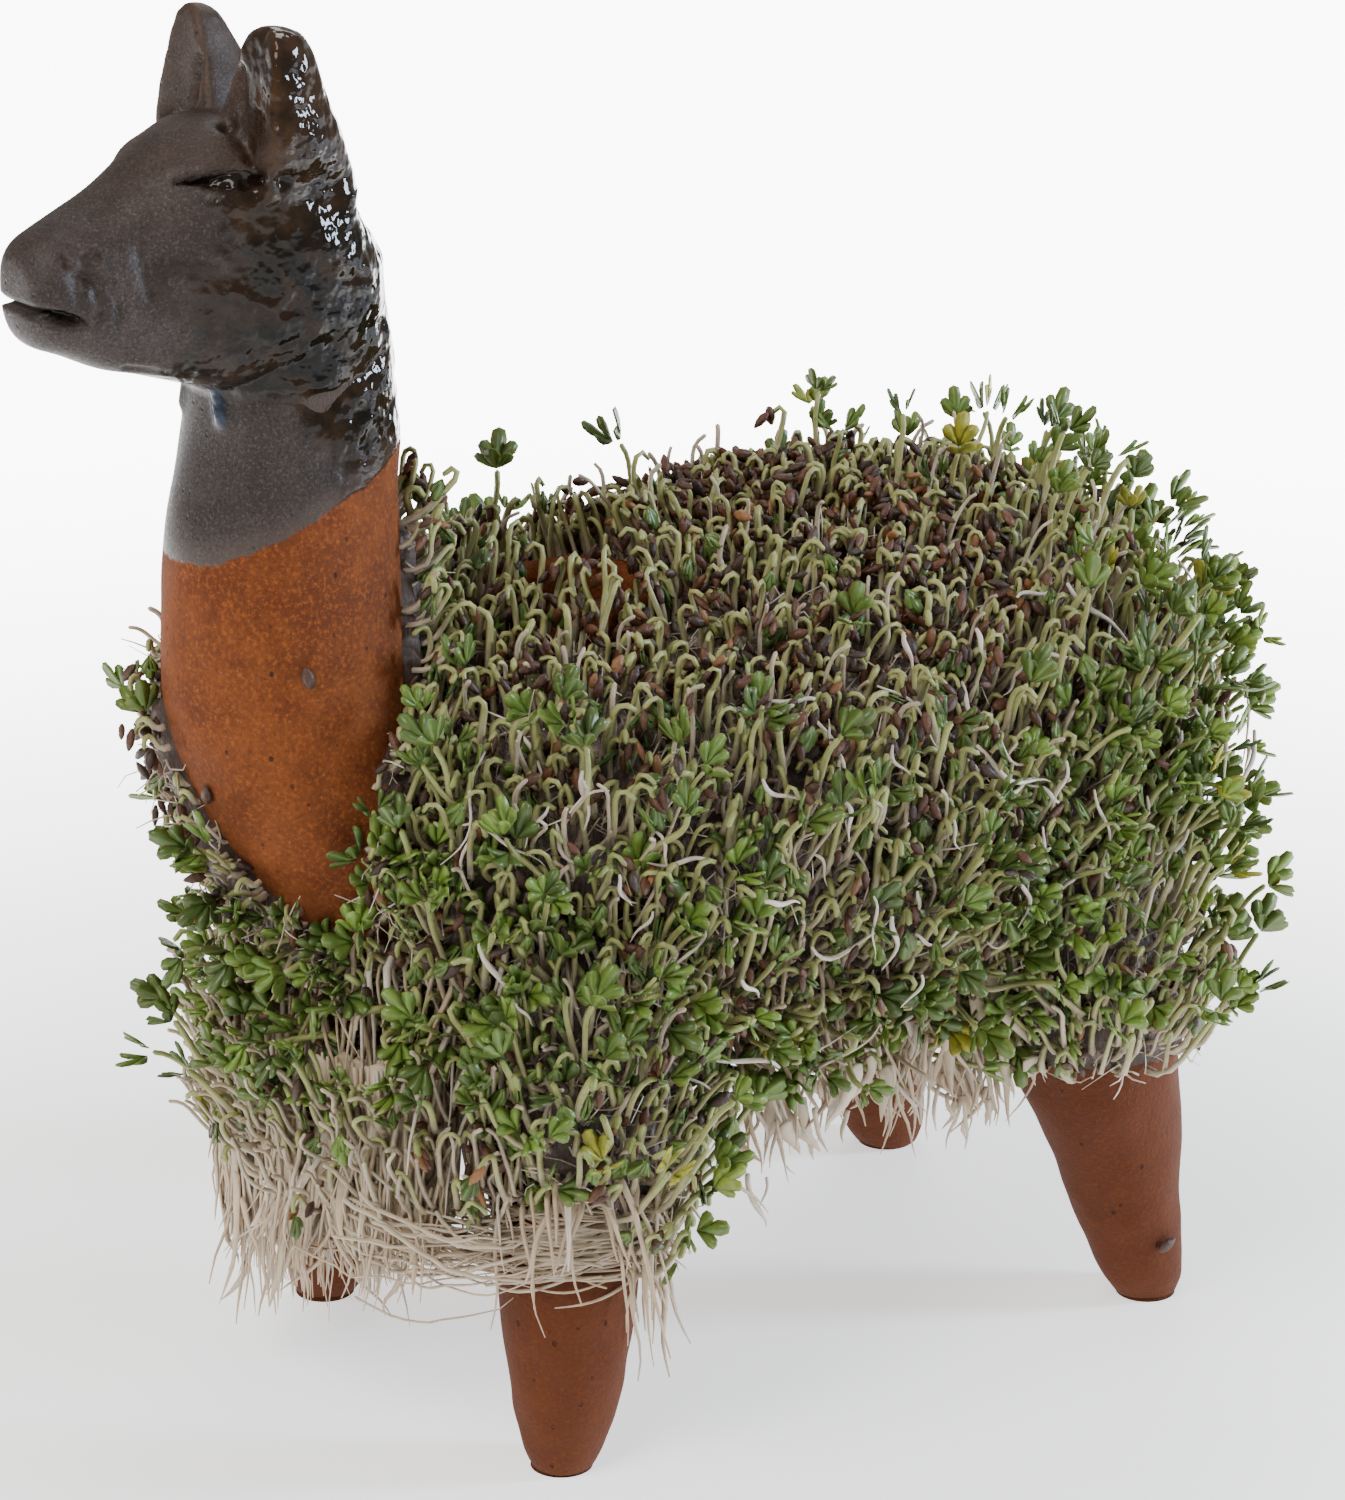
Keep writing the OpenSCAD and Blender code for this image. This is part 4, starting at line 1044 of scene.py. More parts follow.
# Ridges and dents that fingers left on the head: from a point to a point on its left side, then their radius
# and their height. The right side has the same.
HEAD_MARKS = (
    ((6.8, -65.2, 156.4), (11.6, -56, 156.8), 1.5, 0.7),
    ((8.2, -62, 152.6), (11.6, -57, 152.4), 1.4, 0.35),
    ((5.6, -76.6, 145.2), (6.1, -75.4, 145.2), 0.95, -1.3),
    ((6.6, -74.6, 144.4), (6.8, -74.2, 141.4), 0.8, -0.5),
    ((8.2, -68, 148), (9, -66.8, 142.4), 0.8, 0.15),
    ((7.6, -69.6, 147.6), (8.2, -68.8, 143), 0.9, -0.45),
    ((4.8, -56.2, 165), (5.2, -56.4, 161.6), 1.0, -1.7),
    ((4.4, -56.8, 159.2), (4.8, -57, 157.8), 0.8, -1.2),
    ((4.2, -57.6, 158.8), (12.8, -54.8, 154.8), 0.8, -0.9),
    ((12.8, -54.8, 154.8), (12, -47, 153.2), 1.0, -0.5),
    (*DRIP, 1.0, 0.6),
    ((8.4, -38.8, 135.2), (8.4, -38.8, 134.8), 0.8, 0.8),
    ((7.4, -41.6, 147), (8.6, -40.2, 142), 4, -0.7),
    ((6, -44.6, 151.6), (9.6, -45.6, 151), 2.2, 1.5),
    ((4.4, -70, 134.2), (7.4, -62, 131.4), 0.8, -0.35),
    ((7.4, -60, 129.8), (11.8, -50, 128.6), 1.1, -0.8),
    ((11.8, -50, 128.6), (9.8, -41, 132.4), 1.1, -0.8),
)
# Where the glaze pooled, brown and glossy, on the head's left: from a point to a point, then the radius
POOLS = (
    ((6.6, -74.9, 147), (6.8, -74.6, 140.6), 1.5),
    ((5.4, -78.2, 147.2), (5.4, -78.2, 146.6), 1.1),
    ((7.5, -69.2, 147.8), (8.3, -68.2, 143), 1.0),
    ((9, -66.3, 145), (11.4, -60, 144.4), 2.4),
    ((8.8, -66, 140.6), (12.6, -53, 140.4), 1.7),
    ((8.6, -57, 158.4), (9.6, -56.6, 156.8), 1.8),
    ((4.8, -56.2, 165), (4.8, -57, 157.8), 1.5),
)


def eye_cut(points):
    """1 inside the slit of an eye, 0 outside it: a lens, thin in front and widest behind its middle."""
    away, share = from_segment(points, *EYE)
    half = 0.25 + 1.05 * np.sin(np.pi * share**1.5)
    return 1 - step(away, half * 0.6, half * 1.15)


def mouth_cut(points):
    """1 inside the gap between the lips, 0 outside it: a lens round the snout."""
    back = points[:, 1] - NOSE_Y
    off = np.abs(points[:, 2] - (JOWL_Z + 0.41 * HEAD_RISE) + 0.28 * back)
    half = 0.25 + 0.6 * np.sin(np.pi * np.clip(back / 5.4, 0, 1))
    return (1 - step(off, half * 0.5, half + 0.25)) * (1 - step(back, 4, 5.6))


def glaze_lumps(points):
    """How far the glossy glaze's pebbles stand out. They lie where the glossy part of the material is."""
    z = points[:, 2]
    behind = points @ np.array(GLOSS_LINE) - 58.1 - 11 * step(z, 152, 158)
    behind += 3.5 * step(z, 145.5, 142.5) * step(z, 129, 133)
    glossy = step(behind + 6.4 * noise(points, 9, 12), -44, -38)
    glossy *= step(points @ np.array([-GLAZE_SLOPE[0], -GLAZE_SLOPE[1], 1]), 132.5, 134.5)
    pebbles = 0.17 * noise(points, 2.3, 13) + 0.12 * noise(points, 1.3, 14)
    return glossy * (1 - 0.6 * step(z, 149, 155)) * pebbles


class LLAMA_OT_head_and_neck(bpy.types.Operator):
    """Model the glazed head, both ears and the neck as one fused skin of clay"""
    bl_idname = "llama.head_and_neck"
    bl_label = "Head and neck"

    def execute(self, context):
        clay = context.scene.llama_clay
        skins = [skin_of(head_surface, 150, 120, 0.0005, 0.9995), skin_of(neck_surface, 110, 96)]
        skins += [skin_of(ear_surface(side), 60, 72) for side in (-1, 1)]
        obj, points, edges = fused("head_and_neck", skins, clay.voxel / MM)
        points = relaxed(points, edges, 6)
        nape = step(np.abs(points[:, 2] - 153.5), 6, 3) * step(points[:, 1], -53, -48)
        points = points + nape[:, None] * (relaxed(points, edges, 45) - points)
        twin = xyz(np.abs(points[:, 0]), points[:, 1], points[:, 2])
        eye, mouth = eye_cut(twin), mouth_cut(points)
        push = clay.unevenness / MM * (noise(points, 11, 1) + 0.5 * noise(points, 5, 2))
        for start, end, radius, height in HEAD_MARKS:
            push += height * np.exp(-(from_segment(twin, start, end)[0] / radius) ** 2)
        push -= 1.6 * eye + 2.1 * mouth
        push += 1.2 * eye * np.clip(noise(points, 1.3, 8) + 0.2, 0, 1)
        muzzle = np.exp(-(from_segment(twin, (6.2, -76.5, 145.5), (6.4, -73.5, 141))[0] / 2.6) ** 2)
        push += 0.55 * muzzle * noise(points * [1, 1.5, 0.8], 1.3, 5)
        push += glaze_lumps(points)
        points = points + push[:, None] * normals_of(obj.data, points)
        bend = (points - neighbour_mean(points, edges)) * normals_of(obj.data, points)
        bend = relaxed(bend.sum(-1)[:, None], edges, 3)[:, 0]
        ridge = 0.5 * np.clip((bend - 0.01) / 0.03, 0, 1) * step(points[:, 2], 148, 152)
        ridge *= step(from_segment(twin, *EYE)[0], 1.6, 3)
        drip = np.exp(-from_segment(points, *DRIP)[0] ** 4)
        pool = np.max([np.exp(-(from_segment(twin, a, b)[0] / r) ** 4) for a, b, r in POOLS], 0)
        # The second number marks the slits of the eyes and the mouth, which the material makes glossy and
        # darkens as painted shade.
        carry_tint(obj.data, xyz(ridge, np.maximum(eye, mouth * 0.8), drip, pool))
        obj.data.materials.clear()
        obj.data.materials.append(new_material("Glazed and bare clay", paint_head, context.scene.llama_looks))
        seated(obj, "glaze", "head", "neck", "left_ear", "right_ear")
        return {"FINISHED"}


class LLAMA_OT_body(bpy.types.Operator):
    """Model the hollow body with the coil of clay round its filling opening"""
    bl_idname = "llama.body"
    bl_label = "Body"

    def execute(self, context):
        uneven = context.scene.llama_clay.unevenness / MM
        clay = bpy.data.materials["Terracotta"]
        def lift(p, u, v):
            return uneven * (noise(p, 12, 4) + 0.4 * noise(p, 5, 5))
        outer, outer_faces = skin_of(body_surface, 90, 120, 0.004, 0.996, lift)
        inner, inner_faces = skin_of(lambda u, v: body_surface(u, v, -WALL), 50, 64, 0.006, 0.994)
        faces = outer_faces + [f[:, ::-1] + len(outer) for f in inner_faces]
        shell = mesh_object("body_clay", np.concatenate([outer, inner]), faces, clay)
        u, v = np.meshgrid(np.linspace(0, 1, 2), np.arange(72) / 72, indexing="ij")
        ring = FILL_D / 2 * level_ring(2 * np.pi * v)
        ring += xyz(0 * u, FILL_Y + 0 * u, MID_Z + 8 + u * BODY_RISE)
        cutter = mesh_object("bore", closed_grid(ring), grid_faces(2, 72), clay)
        bore = shell.modifiers.new("bore", "BOOLEAN")
        bore.operation, bore.object, bore.solver = "DIFFERENCE", cutter, "EXACT"
        baked(shell)
        bpy.data.objects.remove(cutter)
        seated(shell, "terracotta", "body_shell")
        self.rim(uneven, clay)
        return {"FINISHED"}

    def rim(self, uneven, clay, cols=96):
        """The coil: a ring whose section is a straight-sided foot under a half round, pressed by hand."""
        r = RIM_W / 2
        turn = np.linspace(0, np.pi, 14)
        section_r = np.concatenate([[RIM_W + 0.6], RIM_W / 2 + r * np.cos(turn), [-0.05], [0.5]])
        section_z = np.concatenate([[-5.5], RIM_RISE - r + r * np.sin(turn), [-5.2], [-5.5]])
        rows = len(section_r)
        i, j = np.meshgrid(np.arange(rows), np.arange(cols), indexing="ij")
        angle = 2 * np.pi * (j / cols)
        reach = FILL_D / 2 + section_r[i] - 0.08 * (section_r[i] < r)
        points = xyz(reach * np.cos(angle), FILL_Y + reach * np.sin(angle), RIM_FOOT_Z + section_z[i])
        away = unit(points - np.array([0, FILL_Y, RIM_FOOT_Z])) * (section_r[i] > r)[..., None]
        points = points + away * (1.4 * uneven * noise(points, 5, 6))[..., None]
        near, far, beside = i * cols, (i + 1) % rows * cols, (j + 1) % cols
        quads = xyz(near + j, near + beside, far + beside, far + j).reshape(-1, 4)
        seated(mesh_object("opening_coil", points.reshape(-1, 3), [quads], clay), "terracotta", "fill_rim")


class LLAMA_OT_legs(bpy.types.Operator):
    """Model the four hand-rolled legs"""
    bl_idname = "llama.legs"
    bl_label = "Legs"

    def execute(self, context):
        uneven = context.scene.llama_clay.unevenness / MM
        for seed, (name, leg) in enumerate(LEGS.items()):
            def lift(p, u, v):
                rounding = -0.9 * (1 - step(u, 0.0, 0.05)) * (u > 0.004)
                rough = 1.3 * uneven * (noise(p, 9, 10 + seed) + 0.4 * noise(p, 3.5, 20 + seed))
                return rounding + rough * (u > 0.02)
            points, faces = skin_of(leg_surface(leg), 100, 72, 0, 1, lift)
            clay = mesh_object(name + "_clay", points, faces, bpy.data.materials["Terracotta"])
            seated(clay, "terracotta", name)
        return {"FINISHED"}


class LLAMA_OT_mat(bpy.types.Operator):
    """Lay the mat of roots and seeds on the clay that the coat covers"""
    bl_idname = "llama.mat"
    bl_label = "Root mat"

    def execute(self, context):
        thick = context.scene.llama_coat.mat / MM
        looks = context.scene.llama_looks
        material = new_material("Root mat", paint_mat, looks)
        for name, surface, inside in beds():
            rows, cols = MAT_GRIDS.get(name, (64, 60))
            shares = []
            def lift(p, u, v):
                on = step(inside(p, u, v) + 1.1 * noise(p, 2.4, 31), -0.6, 4.5)
                bumps = 0.75 * noise(p, 3.2, 32) + 0.45 * noise(p, 1.5, 33)
                # These shares carry painted shade to the material: low in the dips between bumps and where
                # the mat thins at its edge.
                shares.append(on * (0.62 + 0.45 * bumps))
                return -0.7 * (1 - on) + on * thick * (1 + 0.55 * bumps)
            points, faces = skin_of(surface, rows, cols, 0.004, 0.996, lift)
            shade = np.concatenate([shares[0].ravel(), shares[0][[0, -1], 0]])[:, None]
            seated(mesh_object(name + "_mat", points, faces, material, shade), "roots")
        new_material("Cress root", paint_root, looks)
        self.fuzz(np.random.default_rng(context.scene.llama_coat.chance + 2), thick)
        return {"FINISHED"}

    def fuzz(self, rng, thick):
        """Fine root hairs that stand and lie in all directions on the mat, thickest in clumps."""
        found = []
        for _, surface, inside in beds():
            u, v, p, n = scattered(surface, 0.45, rng, 0.7 * thick)
            clumps = noise(p, 9, 53) + 0.5 * noise(p, 4, 54)
            keep = (inside(p, u, v) > 0) & (clumps > -0.55 * rng.random(len(p)))
            found.append((p[keep], n[keep]))
        root, normal = (np.concatenate(part) for part in zip(*found))
        count = len(root)
        t = np.linspace(0, 1, 4)
        way = unit(rng.normal(size=(count, 3)) + 0.9 * normal + 0.6 * UP)
        curl = rng.normal(size=(count, 3))
        d = unit(way[:, None] + 0.9 * curl[:, None] * (t[:, None] - 0.3))
        length = (2.2 + 3.6 * rng.random(count)) * (1 + 0.4 * noise(root, 5, 52))
        line = root[:, None] + d * t[:, None] * length[:, None, None]
        radius = np.interp(t, [0, 1], [0.15, 0.06]) * (0.6 + 0.9 * rng.random((count, 1)))
        axis = unit(np.cross(way, curl))
        tint = tube_tint(0.4 + 0.6 * t, 3, rng.random(count), 0.35 + 0.5 * rng.random(count))
        for name, mine in (("left_fuzz", root[:, 0] > 0), ("right_fuzz", root[:, 0] <= 0)):
            root_piece(name, line[mine], axis[mine], radius[mine], 3, tint[mine])


class LLAMA_OT_sprouts(bpy.types.Operator):
    """Grow the coat: stems, seed leaves and seed coats, as one piece of each for every patch"""
    bl_idname = "llama.sprouts"
    bl_label = "Sprouts"

    def execute(self, context):
        coat, looks = context.scene.llama_coat, context.scene.llama_looks
        growth = Growth(coat)
        bare = growth.kind == 3
        n = len(bare)
        taper = np.interp(STEM_STATIONS, [0, 0.5, 1], [1.1, 0.95, 0.85])
        thick = coat.stem_width / MM / 2 * (0.8 + 0.4 * growth.rng.random(n)) * np.where(bare, 0.75, 1)
        shape = tubes(growth.line, growth.way, growth.axis, thick[:, None] * taper, 4)
        tint = tube_tint(STEM_STATIONS, 4, growth.chance, np.where(bare, 0, growth.green))
        tint[..., 0] *= np.where(bare, 0.2, 1.0)[:, None]
        stem = new_material("Cress stem", paint_stem, looks)
        growth.pieces("_stems", shape, tint, np.arange(n), stem, "sprouts")
        self.leaves(growth, coat.leaf_length / MM, new_material("Cress leaf", paint_leaf, looks))
        self.husks(growth, coat.seed_length / MM, new_material("Wet seed coat", paint_seed, looks))
        return {"FINISHED"}

    def leaves(self, growth, usual, material):
        """Two seed leaves of three lobes on each leafy stem, folded together or spread."""
        rng, kind = growth.rng, growth.kind
        leafy = np.flatnonzero(((kind == 1) & (growth.chance < 0.56)) | (kind == 2))
        n = len(leafy)
        is_open = kind[leafy] == 2
        out, side, tip = growth.way[leafy, -1], growth.axis[leafy], growth.line[leafy, -1]
        across = unit(np.cross(out, side))
        turn = (rng.random(n) * np.pi)[:, None]
        side, across = (side * np.cos(turn) + across * np.sin(turn),
            across * np.cos(turn) - side * np.sin(turn))
        spread = np.where(is_open, 0.42 + 0.55 * rng.random(n), 0.08 + 0.14 * rng.random(n))[:, None]
        size = usual * (0.72 + 0.42 * rng.random(n)) * np.where(is_open, 1, 0.8)
        made = []
        for way in (-1, 1):
            towards = unit(out * np.cos(spread) + way * across * np.sin(spread))
            for lobe, long, wide in ((-0.62, 0.74, 0.86), (0, 1, 1), (0.62, 0.74, 0.86)):
                fan = (lobe * (0.55 + 0.45 * is_open))[:, None]
                lobe_out = unit(towards * np.cos(fan) + side * np.sin(fan))
                lobe_side = unit(side * np.cos(fan) - towards * np.sin(fan)) * way
                made.append((tip + towards * (0.22 * size)[:, None], lobe_out, lobe_side, size * long,
                    size * 0.44 * wide, size * (0.06 + 0.2 * rng.random(n))))
        owner = np.tile(leafy, len(made))
        shape = lobes(*(np.concatenate(part) for part in zip(*made)))
        across_lobe = np.concatenate([np.tile([1, 0, 1, 0.4], 3), [0, 0.5]])
        tint = tinted(across_lobe, growth.chance[owner], 0.35 + 0.65 * growth.green[owner])
        growth.pieces("_leaves", shape, tint, owner, material, "sprouts")

    def husks(self, growth, usual, material):
        """Seed coats: on the tips of hooks, among the stems, and pressed into the mat."""
        rng, kind, chance, often = growth.rng, growth.kind, growth.chance, seediness(growth.root)
        carrying = (kind == 0) | ((kind == 1) & (chance < 0.25)) | ((kind == 2) & (chance < 0.05))
        tips = np.flatnonzero(carrying)
        tips = np.concatenate([tips] + [tips[rng.random(len(tips)) < often[tips]] for _ in range(2)])
        among = np.flatnonzero(rng.random(len(kind)) < 1.25 * often**2)
        stray, normal = rng.normal(size=(len(among), 3)), growth.normal[among]
        height = 1.2 + 6 * rng.random(len(among)) * (1 - 0.3 * growth.green[among]) * (
            0.4 + 0.6 * step(normal[:, 2], 0, 0.6))
        way = growth.way[tips, -1]
        root = np.concatenate([growth.line[tips, -1] - 0.2 * way + 0.6 * rng.normal(size=way.shape),
            growth.root[among] + 0.9 * stray * [1, 1, 0.4] + normal * height[:, None]])
        out = unit(np.concatenate([way + 0.35 * rng.normal(size=way.shape),
            rng.normal(size=normal.shape) + 0.2 * normal]))
        any_way = rng.normal(size=root.shape)
        side = unit(any_way - (any_way * out).sum(-1, keepdims=True) * out)
        n = len(root)
        length = usual * (0.75 + 0.4 * rng.random(n))
        shape = seeds(root, out, side, length, length * (0.43 + 0.13 * rng.random(n)))
        tint = tinted(np.zeros(26), rng.random(n) ** 1.2, (rng.random(n) < 0.1) * rng.random(n))
        growth.pieces("_seeds", shape, tint, np.concatenate([tips, among]), material, "seeds")


class LLAMA_OT_roots(bpy.types.Operator):
    """Hang the roots from the coat's lower edge, and lay threads across the front legs"""
    bl_idname = "llama.roots"
    bl_label = "Hanging roots"

    def execute(self, context):
        coat = context.scene.llama_coat
        rng = np.random.default_rng(coat.chance + 1)
        u, v, p, n = scattered(body_surface, 0.34, rng, 1.5)
        ridge = from_ridge(v)
        chest = (u < 0.36) & (p[:, 2] < 66)
        hem = (ridge > 104) & (ridge < 142)
        keep = (body_coat(p, u, v) > -1.5) & (chest | hem) & (rng.random(len(u)) < np.where(chest, 0.9, 0.55))
        found = [(p[keep], n[keep])]
        for name, top in (("front_left_leg", 42), ("front_right_leg", 46)):
            u, v, p, n = scattered(leg_surface(LEGS[name]), 0.25, rng, 1.2)
            keep = (leg_coat(LEGS[name])(p, u, v) > -1) & (p[:, 2] < top)
            found.append((p[keep], n[keep]))
        root, normal = (np.concatenate(part) for part in zip(*found))
        count = len(root)
        front = step(root[:, 1], -10, -34)
        length = coat.root_length / MM * (0.2 + 0.42 * rng.random(count) ** 1.4) * (0.55 + 0.75 * front)
        length[rng.random(count) < 0.03] *= 1.5
        length = np.minimum(length, (root[:, 2] - 6) * 0.85)
        bundle = xyz(noise(root, 5, 41), noise(root, 5, 42), 0.3 * noise(root, 5, 43))
        aim = unit(-UP + 0.5 * bundle + 0.12 * rng.normal(size=(count, 3)) + 0.12 * normal)
        t = ROOT_STATIONS[None, :, None]
        turn = step(t, 0, 0.28)
        d = unit(normal[:, None] * (1 - turn) + aim[:, None] * turn
            + 0.3 * bundle[:, None] * np.sin(5 * t + 4 * bundle[:, None, :1])
            + 0.1 * rng.normal(size=(count, 1, 3)) * np.sin(8 * t))
        line = walked(root, d, length[:, None, None] / (len(ROOT_STATIONS) - 1))
        taper = np.interp(ROOT_STATIONS, [0, 0.5, 1], [0.36, 0.28, 0.08])
        radius = taper * (0.7 + 0.7 * rng.random((count, 1)))
        points, faces = tubes(line, d, unit(np.cross(aim, normal + 0.01)), radius, 4)
        tint = tube_tint(ROOT_STATIONS, 4, rng.random(count), (rng.random(count) < 0.3) * rng.random(count))
        left, fore = root[:, 0] > 0, root[:, 1] <= -20
        groups = {"left_roots": left & ~fore, "right_roots": ~left & ~fore, "front_roots": fore}
        for name, mine in groups.items():
            grown_piece(name, (points[mine], faces), tint[mine], bpy.data.materials["Cress root"], "roots")
        self.curtain(rng)
        for name in ("front_left_leg", "front_right_leg"):
            self.threads(rng, name)
        self.slack_threads(rng)
        return {"FINISHED"}

    def curtain(self, rng, clumps=300, strands=2000, sheets=420):
        """The fringe under the chest and along the belly: strands and flat sheets that hang in several layers
        from the coat's lower edge, and draw together to one of many points on their way down, where each ends
        in a taper."""
        middle_at = np.sort(rng.random(clumps)) * 252 - 126
        off = np.abs(middle_at)
        chest = off < 52
        share = (0.35 + chest) * (1 - 0.85 * step(off, 25, 29) * step(off, 47, 43))
        mine = np.concatenate([rng.choice(clumps, some, p=share / share.sum()) for some in (strands, sheets)])
        count = len(mine)
        flat = np.arange(count) >= strands
        layer = rng.random(count) ** 0.8
        start = middle_at[mine] + 2.6 * rng.normal(size=count)
        t = np.linspace(0, 1, 8)
        gather = step(t, 0.15, 1.0) * (0.45 + 0.5 * rng.random((count, 1)))
        s = start[:, None] * (1 - gather) + middle_at[mine][:, None] * gather
        x, y = hem_path(s, 1 + 8.5 * layer[:, None])
        drop = (3.2 * rng.normal(size=clumps))[mine]
        side = np.interp(y[:, -1], [-30, -18, -7, 5, 20, 32, 42, 55], [31, 29, 29, 34, 33, 28, 31, 35])
        tip = np.interp(x[:, -1], [-30, -20, 0, 8, 16, 22, 30], [16, 16.5, 20, 23, 24.5, 27, 31])
        back = step(y[:, -1], -32, -22)
        tip = tip * (1 - back) + side * back
        tip = tip + drop + 1.8 * rng.normal(size=count) + 8 * rng.random(count) ** 2 + 3 * layer
        top = tip + np.where(chest[mine], 6 + 20 * rng.random(count), 3 + 9 * rng.random(count))
        top = np.maximum(np.minimum(top, 51), tip + 3)
        z = top[:, None] * (1 - t) + tip[:, None] * t
        where = xyz(x, y, z * 0.6)
        sway = 0.4 + 2.2 * t
        lean = rng.normal(size=(2, count, 1)) * 1.4 * t**1.5
        x = x + sway * noise(where, 6, 71) + 0.9 * t * noise(where, 2.2, 73) + lean[0]
        y = y + sway * noise(where, 6, 72) + 0.9 * t * noise(where, 2.2, 74) + lean[1]
        line = xyz(x, y, z)
        axis = unit(np.cross(level_ring(np.pi / 2 - np.clip(start / HEM_R, -math.pi / 2, math.pi / 2)), -UP))
        width = np.interp(t, [0, 0.55, 1], [0.3, 0.27, 0.06]) * (0.7 + 0.7 * rng.random((count, 1)))
        sheet = np.interp(t, [0, 0.4, 0.8, 1], [1.5, 1.2, 0.55, 0.08])
        width[flat] = sheet * (0.5 + 0.6 * rng.random((sheets, 1)))
        chance, fresh = rng.random(count), 0.7 * rng.random(count) ** 2
        for name, mine, sides, thin in (("fringe_strands", ~flat, 4, 1.0), ("fringe_sheets", flat, 6, 0.2)):
            tint = tube_tint(0.3 + 0.7 * t, sides, chance[mine], fresh[mine])
            root_piece(name, line[mine], axis[mine], width[mine], sides, tint, thin)

    def threads(self, rng, name, count=60):
        """Threads that lie round the front of a front leg: each keeps a little off the leg's skin, while it
        goes part of the way round and its height wanders."""
        leg = LEGS[name]
        def chance():
            return rng.random((count, 1))
        t = np.linspace(0, 1, 12)
        start = chance() * 1.2 - 0.9
        angle = start + (0.9 + 1.6 * chance()) * t + (math.pi if leg[0] < 0 else 0)
        z = 27 + 8 * chance() + 3.5 * (chance() - 0.5) * t * 2 + 1.6 * np.sin(3 * t + 6 * chance())
        rise = z / LEG_TOP_Z
        r = leg_radius(leg, rise) + 0.5 + 2.2 * chance() * np.abs(2 * t - 1) ** 2 + 0.6 * chance()
        line = leg_axis(leg, rise) + r[..., None] * level_ring(angle)
        radius = np.interp(t, [0, 0.5, 1], [0.14, 0.3, 0.1]) * (0.6 + 0.8 * chance())
        tint = tube_tint(t, 4, rng.random(count), 0.5 * rng.random(count))
        root_piece(name + "_threads", line, np.tile(UP + 0.01, (count, 1)), radius, 4, tint)

    def slack_threads(self, rng, count=70):
        """Threads that sag between the chest and the left front leg, many cut short."""
        t = np.linspace(0, 1, 14)[:, None]
        a = np.array([14, -49, 33]) + rng.normal(size=(count, 1, 3)) * [7, 3, 4]
        b = np.array([35.5, -27, 31]) + rng.normal(size=(count, 1, 3)) * [1.2, 5, 2.6]
        sag = (1.5 + 4.5 * rng.random((count, 1, 1))) * 4 * t * (1 - t)
        line = a * (1 - t) + b * t - sag * UP + np.array([0.45, -0.5, 0]) * 6 * t * (1 - t) * 2
        line = line + 1.1 * xyz(noise(line, 6, 81), noise(line, 6, 82), noise(line, 4, 83))
        line = a + (line - a) * (0.55 + 0.45 * rng.random((count, 1, 1)))
        radius = np.interp(t[:, 0], [0, 0.6, 1], [0.26, 0.2, 0.06]) * (0.6 + 0.8 * rng.random((count, 1)))
        tint = tube_tint(t[:, 0], 4, rng.random(count), 0.6 * rng.random(count))
        root_piece("slack_threads", line, np.tile(UP + 0.01, (count, 1)), radius, 4, tint)


class LLAMA_OT_white_roots(bpy.types.Operator):
    """Lay fresh white roots over the flanks, from one sprout down to the next"""
    bl_idname = "llama.white_roots"
    bl_label = "White roots"

    def execute(self, context):
        rng = np.random.default_rng(context.scene.llama_coat.chance + 3)
        u, v, p, n = scattered(body_surface, 0.022, rng, 7.5)
        clear = (off_neck(p) > 5) & (off_legs(p) > 4)
        keep = clear & (body_coat(p, u, v) > 4) & (n[:, 2] < 0.75) & (p[:, 1] > -44)
        root, normal = p[keep], n[keep]
        count = len(root)
        t = np.linspace(0, 1, 12)[:, None]
        way = unit(rng.normal(size=(count, 3)) * 0.8 - 0.9 * UP)
        way = unit(way - 0.9 * (way * normal).sum(-1, keepdims=True) * normal)
        side = np.cross(way, normal)[:, None]
        length = 4 + 11 * rng.random((count, 1, 1)) ** 1.5
        bend = rng.normal(size=(count, 1, 1))
        d = unit(way[:, None] + 0.8 * bend * (t - 0.3) * side + 0.45 * np.sin(7 * t + 9 * bend) * side
            - 0.35 * t * normal[:, None])
        radius = np.interp(t[:, 0], [0, 0.3, 1], [0.2, 0.34, 0.07]) * (0.6 + 0.6 * rng.random((count, 1)))
        shape = tubes(walked(root, d, length / 11), d, normal, radius, 5)
        tint = tube_tint(0.5 + 0.5 * t[:, 0], 5, rng.random(count), 0.75 + 0.25 * rng.random(count))
        grown_piece("white_roots", shape, tint, bpy.data.materials["Cress root"], "roots")
        return {"FINISHED"}


class LLAMA_OT_stray_seeds(bpy.types.Operator):
    """Stick the three stray seeds to the clay"""
    bl_idname = "llama.stray_seeds"
    bl_label = "Stray seeds"

    def execute(self, context):
        places = [(neck_surface, 0.42, 0.97, (0.25, 0, 1)), (neck_surface, 0.56, 0.8, (0, -0.3, 1)),
            (leg_surface(LEGS["rear_left_leg"]), 0.35, 0.0, (0, 0.8, 0.4))]
        made = []
        for surface, u, v, along in places:
            u, v = np.array([u]), np.array([v])
            normal = facing(surface, u, v)[0]
            axis = unit(np.array(along, float) - (np.array(along) @ normal) * normal)
            made.append((surface(u, v, 0.75)[0] - 1.45 * axis, axis, unit(np.cross(axis, normal))))
        shape = seeds(*(np.array(part) for part in zip(*made)), np.full(3, 2.9), np.full(3, 1.7))
        tint = tinted(np.zeros(26), np.full(3, 0.35), np.zeros(3))
        material = bpy.data.materials["Wet seed coat"]
        grown_piece("stray_seed_coats", shape, tint, material, "seeds", "stray_seeds")
        return {"FINISHED"}


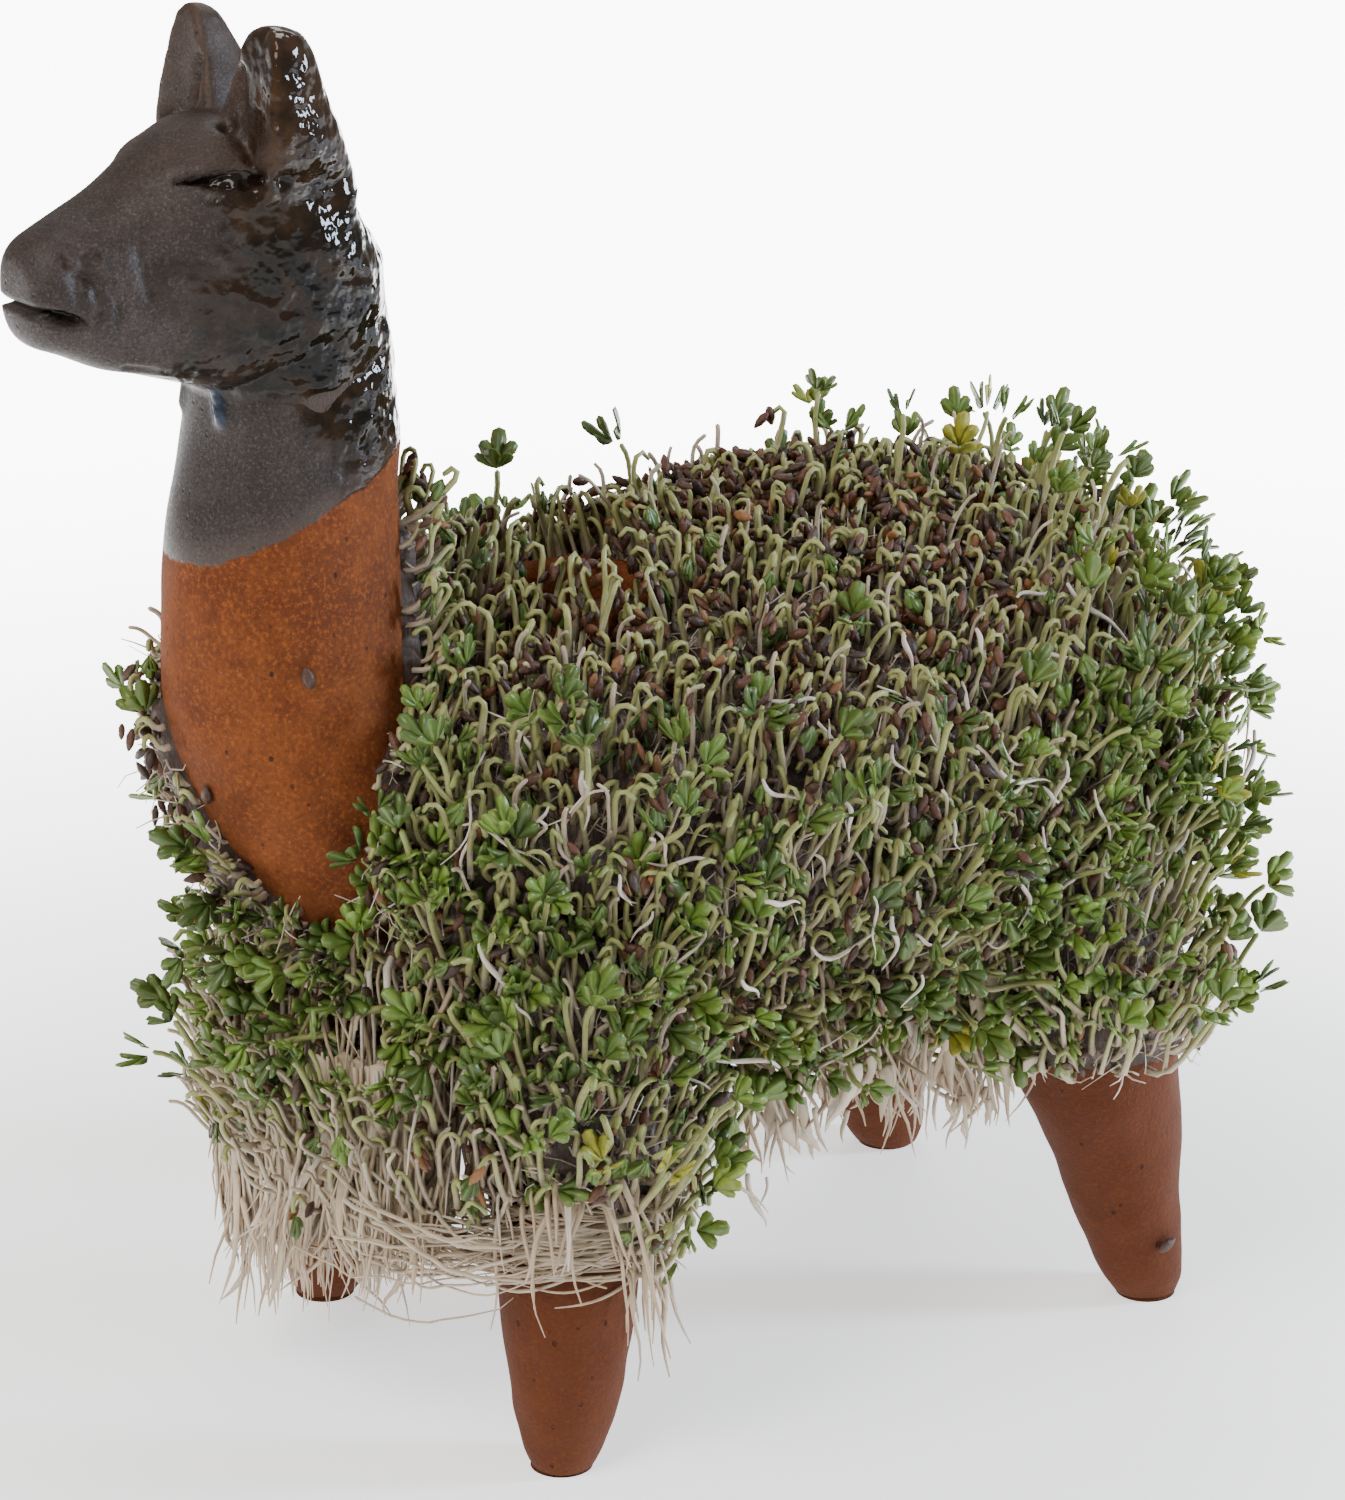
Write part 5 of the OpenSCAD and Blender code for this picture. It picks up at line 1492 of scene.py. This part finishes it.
class LLAMA_OT_stage(bpy.types.Operator):
    """Set the pale floor, the soft lights and the camera at the photograph's angle"""
    bl_idname = "llama.stage"
    bl_label = "Stage"

    def execute(self, context):
        stage = context.scene.llama_stage
        corners = 3000 * np.array([[-1, -1, 0], [1, -1, 0], [1, 1, 0], [-1, 1, 0]], float)
        material = new_material("Floor", paint_floor, stage)
        floor = mesh_object("floor", corners, [np.array([[0, 1, 2, 3]])], material)
        world = bpy.data.worlds.new("Soft room")
        world.use_nodes = True
        background = world.node_tree.nodes["Background"].inputs
        background[0].default_value, background[1].default_value = (1.0, 0.98, 0.94, 1.0), 0.42
        context.scene.world = world
        aim = Vector((0, 0, 0.08))
        # Each light: its name, place, width, height, power and colour
        for name, place, wide, high, power, colour in (
                ("key", (0.3, -0.9, 1.1), 0.7, 0.7, 17, (1, 0.97, 0.92)),
                ("window", (0.6, 0.95, 0.42), 0.2, 0.4, 19, (0.66, 0.8, 1)),
                ("back", (-0.8, 0.6, 1.1), 0.6, 0.6, 6, (1, 1, 1))):
            light = bpy.data.lights.new(name, "AREA")
            light.shape, light.size, light.size_y = "RECTANGLE", wide, high
            light.energy, light.color = power, colour
            obj = bpy.data.objects.new(name, light)
            obj.location = place
            obj.rotation_euler = (aim - Vector(place)).to_track_quat("-Z", "Y").to_euler()
            context.scene.collection.objects.link(obj)
        camera = bpy.data.cameras.new("camera")
        camera.sensor_width, camera.lens = 36, stage.lens
        camera.clip_start, camera.clip_end = 0.05, 20
        obj = bpy.data.objects.new("camera", camera)
        right, up = Vector((0.5461, 0.8377, 0)), Vector((-0.2755, 0.1796, 0.9444))
        turned = Matrix((right, up, right.cross(up))).transposed()
        obj.matrix_world = Matrix.Translation((0.48052, -0.30937, 0.2743)) @ turned.to_4x4()
        context.scene.collection.objects.link(obj)
        context.scene.camera = obj
        return {"FINISHED"}


OPERATORS = (LLAMA_OT_head_and_neck, LLAMA_OT_body, LLAMA_OT_legs, LLAMA_OT_mat, LLAMA_OT_sprouts,
    LLAMA_OT_roots, LLAMA_OT_white_roots, LLAMA_OT_stray_seeds, LLAMA_OT_stage)
SETTINGS = {"llama_looks": LlamaLooks, "llama_clay": LlamaClay, "llama_coat": LlamaCoat,
    "llama_stage": LlamaStage}


class LLAMA_PT_panel(bpy.types.Panel):
    bl_label = "Llama planter"
    bl_idname = "LLAMA_PT_panel"
    bl_space_type = "VIEW_3D"
    bl_region_type = "UI"
    bl_category = "Llama"

    def draw(self, context):
        for operator in OPERATORS:
            self.layout.operator(operator.bl_idname)
        for group in SETTINGS:
            settings = getattr(context.scene, group)
            for name in settings.__annotations__:
                self.layout.prop(settings, name)


def register():
    for name, group in SETTINGS.items():
        bpy.utils.register_class(group)
        setattr(bpy.types.Scene, name, bpy.props.PointerProperty(type=group))
    for operator in OPERATORS:
        bpy.utils.register_class(operator)
    bpy.utils.register_class(LLAMA_PT_panel)


def unregister():
    bpy.utils.unregister_class(LLAMA_PT_panel)
    for operator in reversed(OPERATORS):
        bpy.utils.unregister_class(operator)
    for name, group in SETTINGS.items():
        delattr(bpy.types.Scene, name)
        bpy.utils.unregister_class(group)


def main():
    register()
    clay_grain_group()
    new_material("Terracotta", paint_clay, bpy.context.scene.llama_looks)
    bpy.ops.llama.head_and_neck()
    bpy.ops.llama.body()
    bpy.ops.llama.legs()
    bpy.ops.llama.mat()
    bpy.ops.llama.sprouts()
    bpy.ops.llama.roots()
    bpy.ops.llama.white_roots()
    bpy.ops.llama.stray_seeds()
    bpy.ops.llama.stage()


if __name__ == "__main__":
    main()
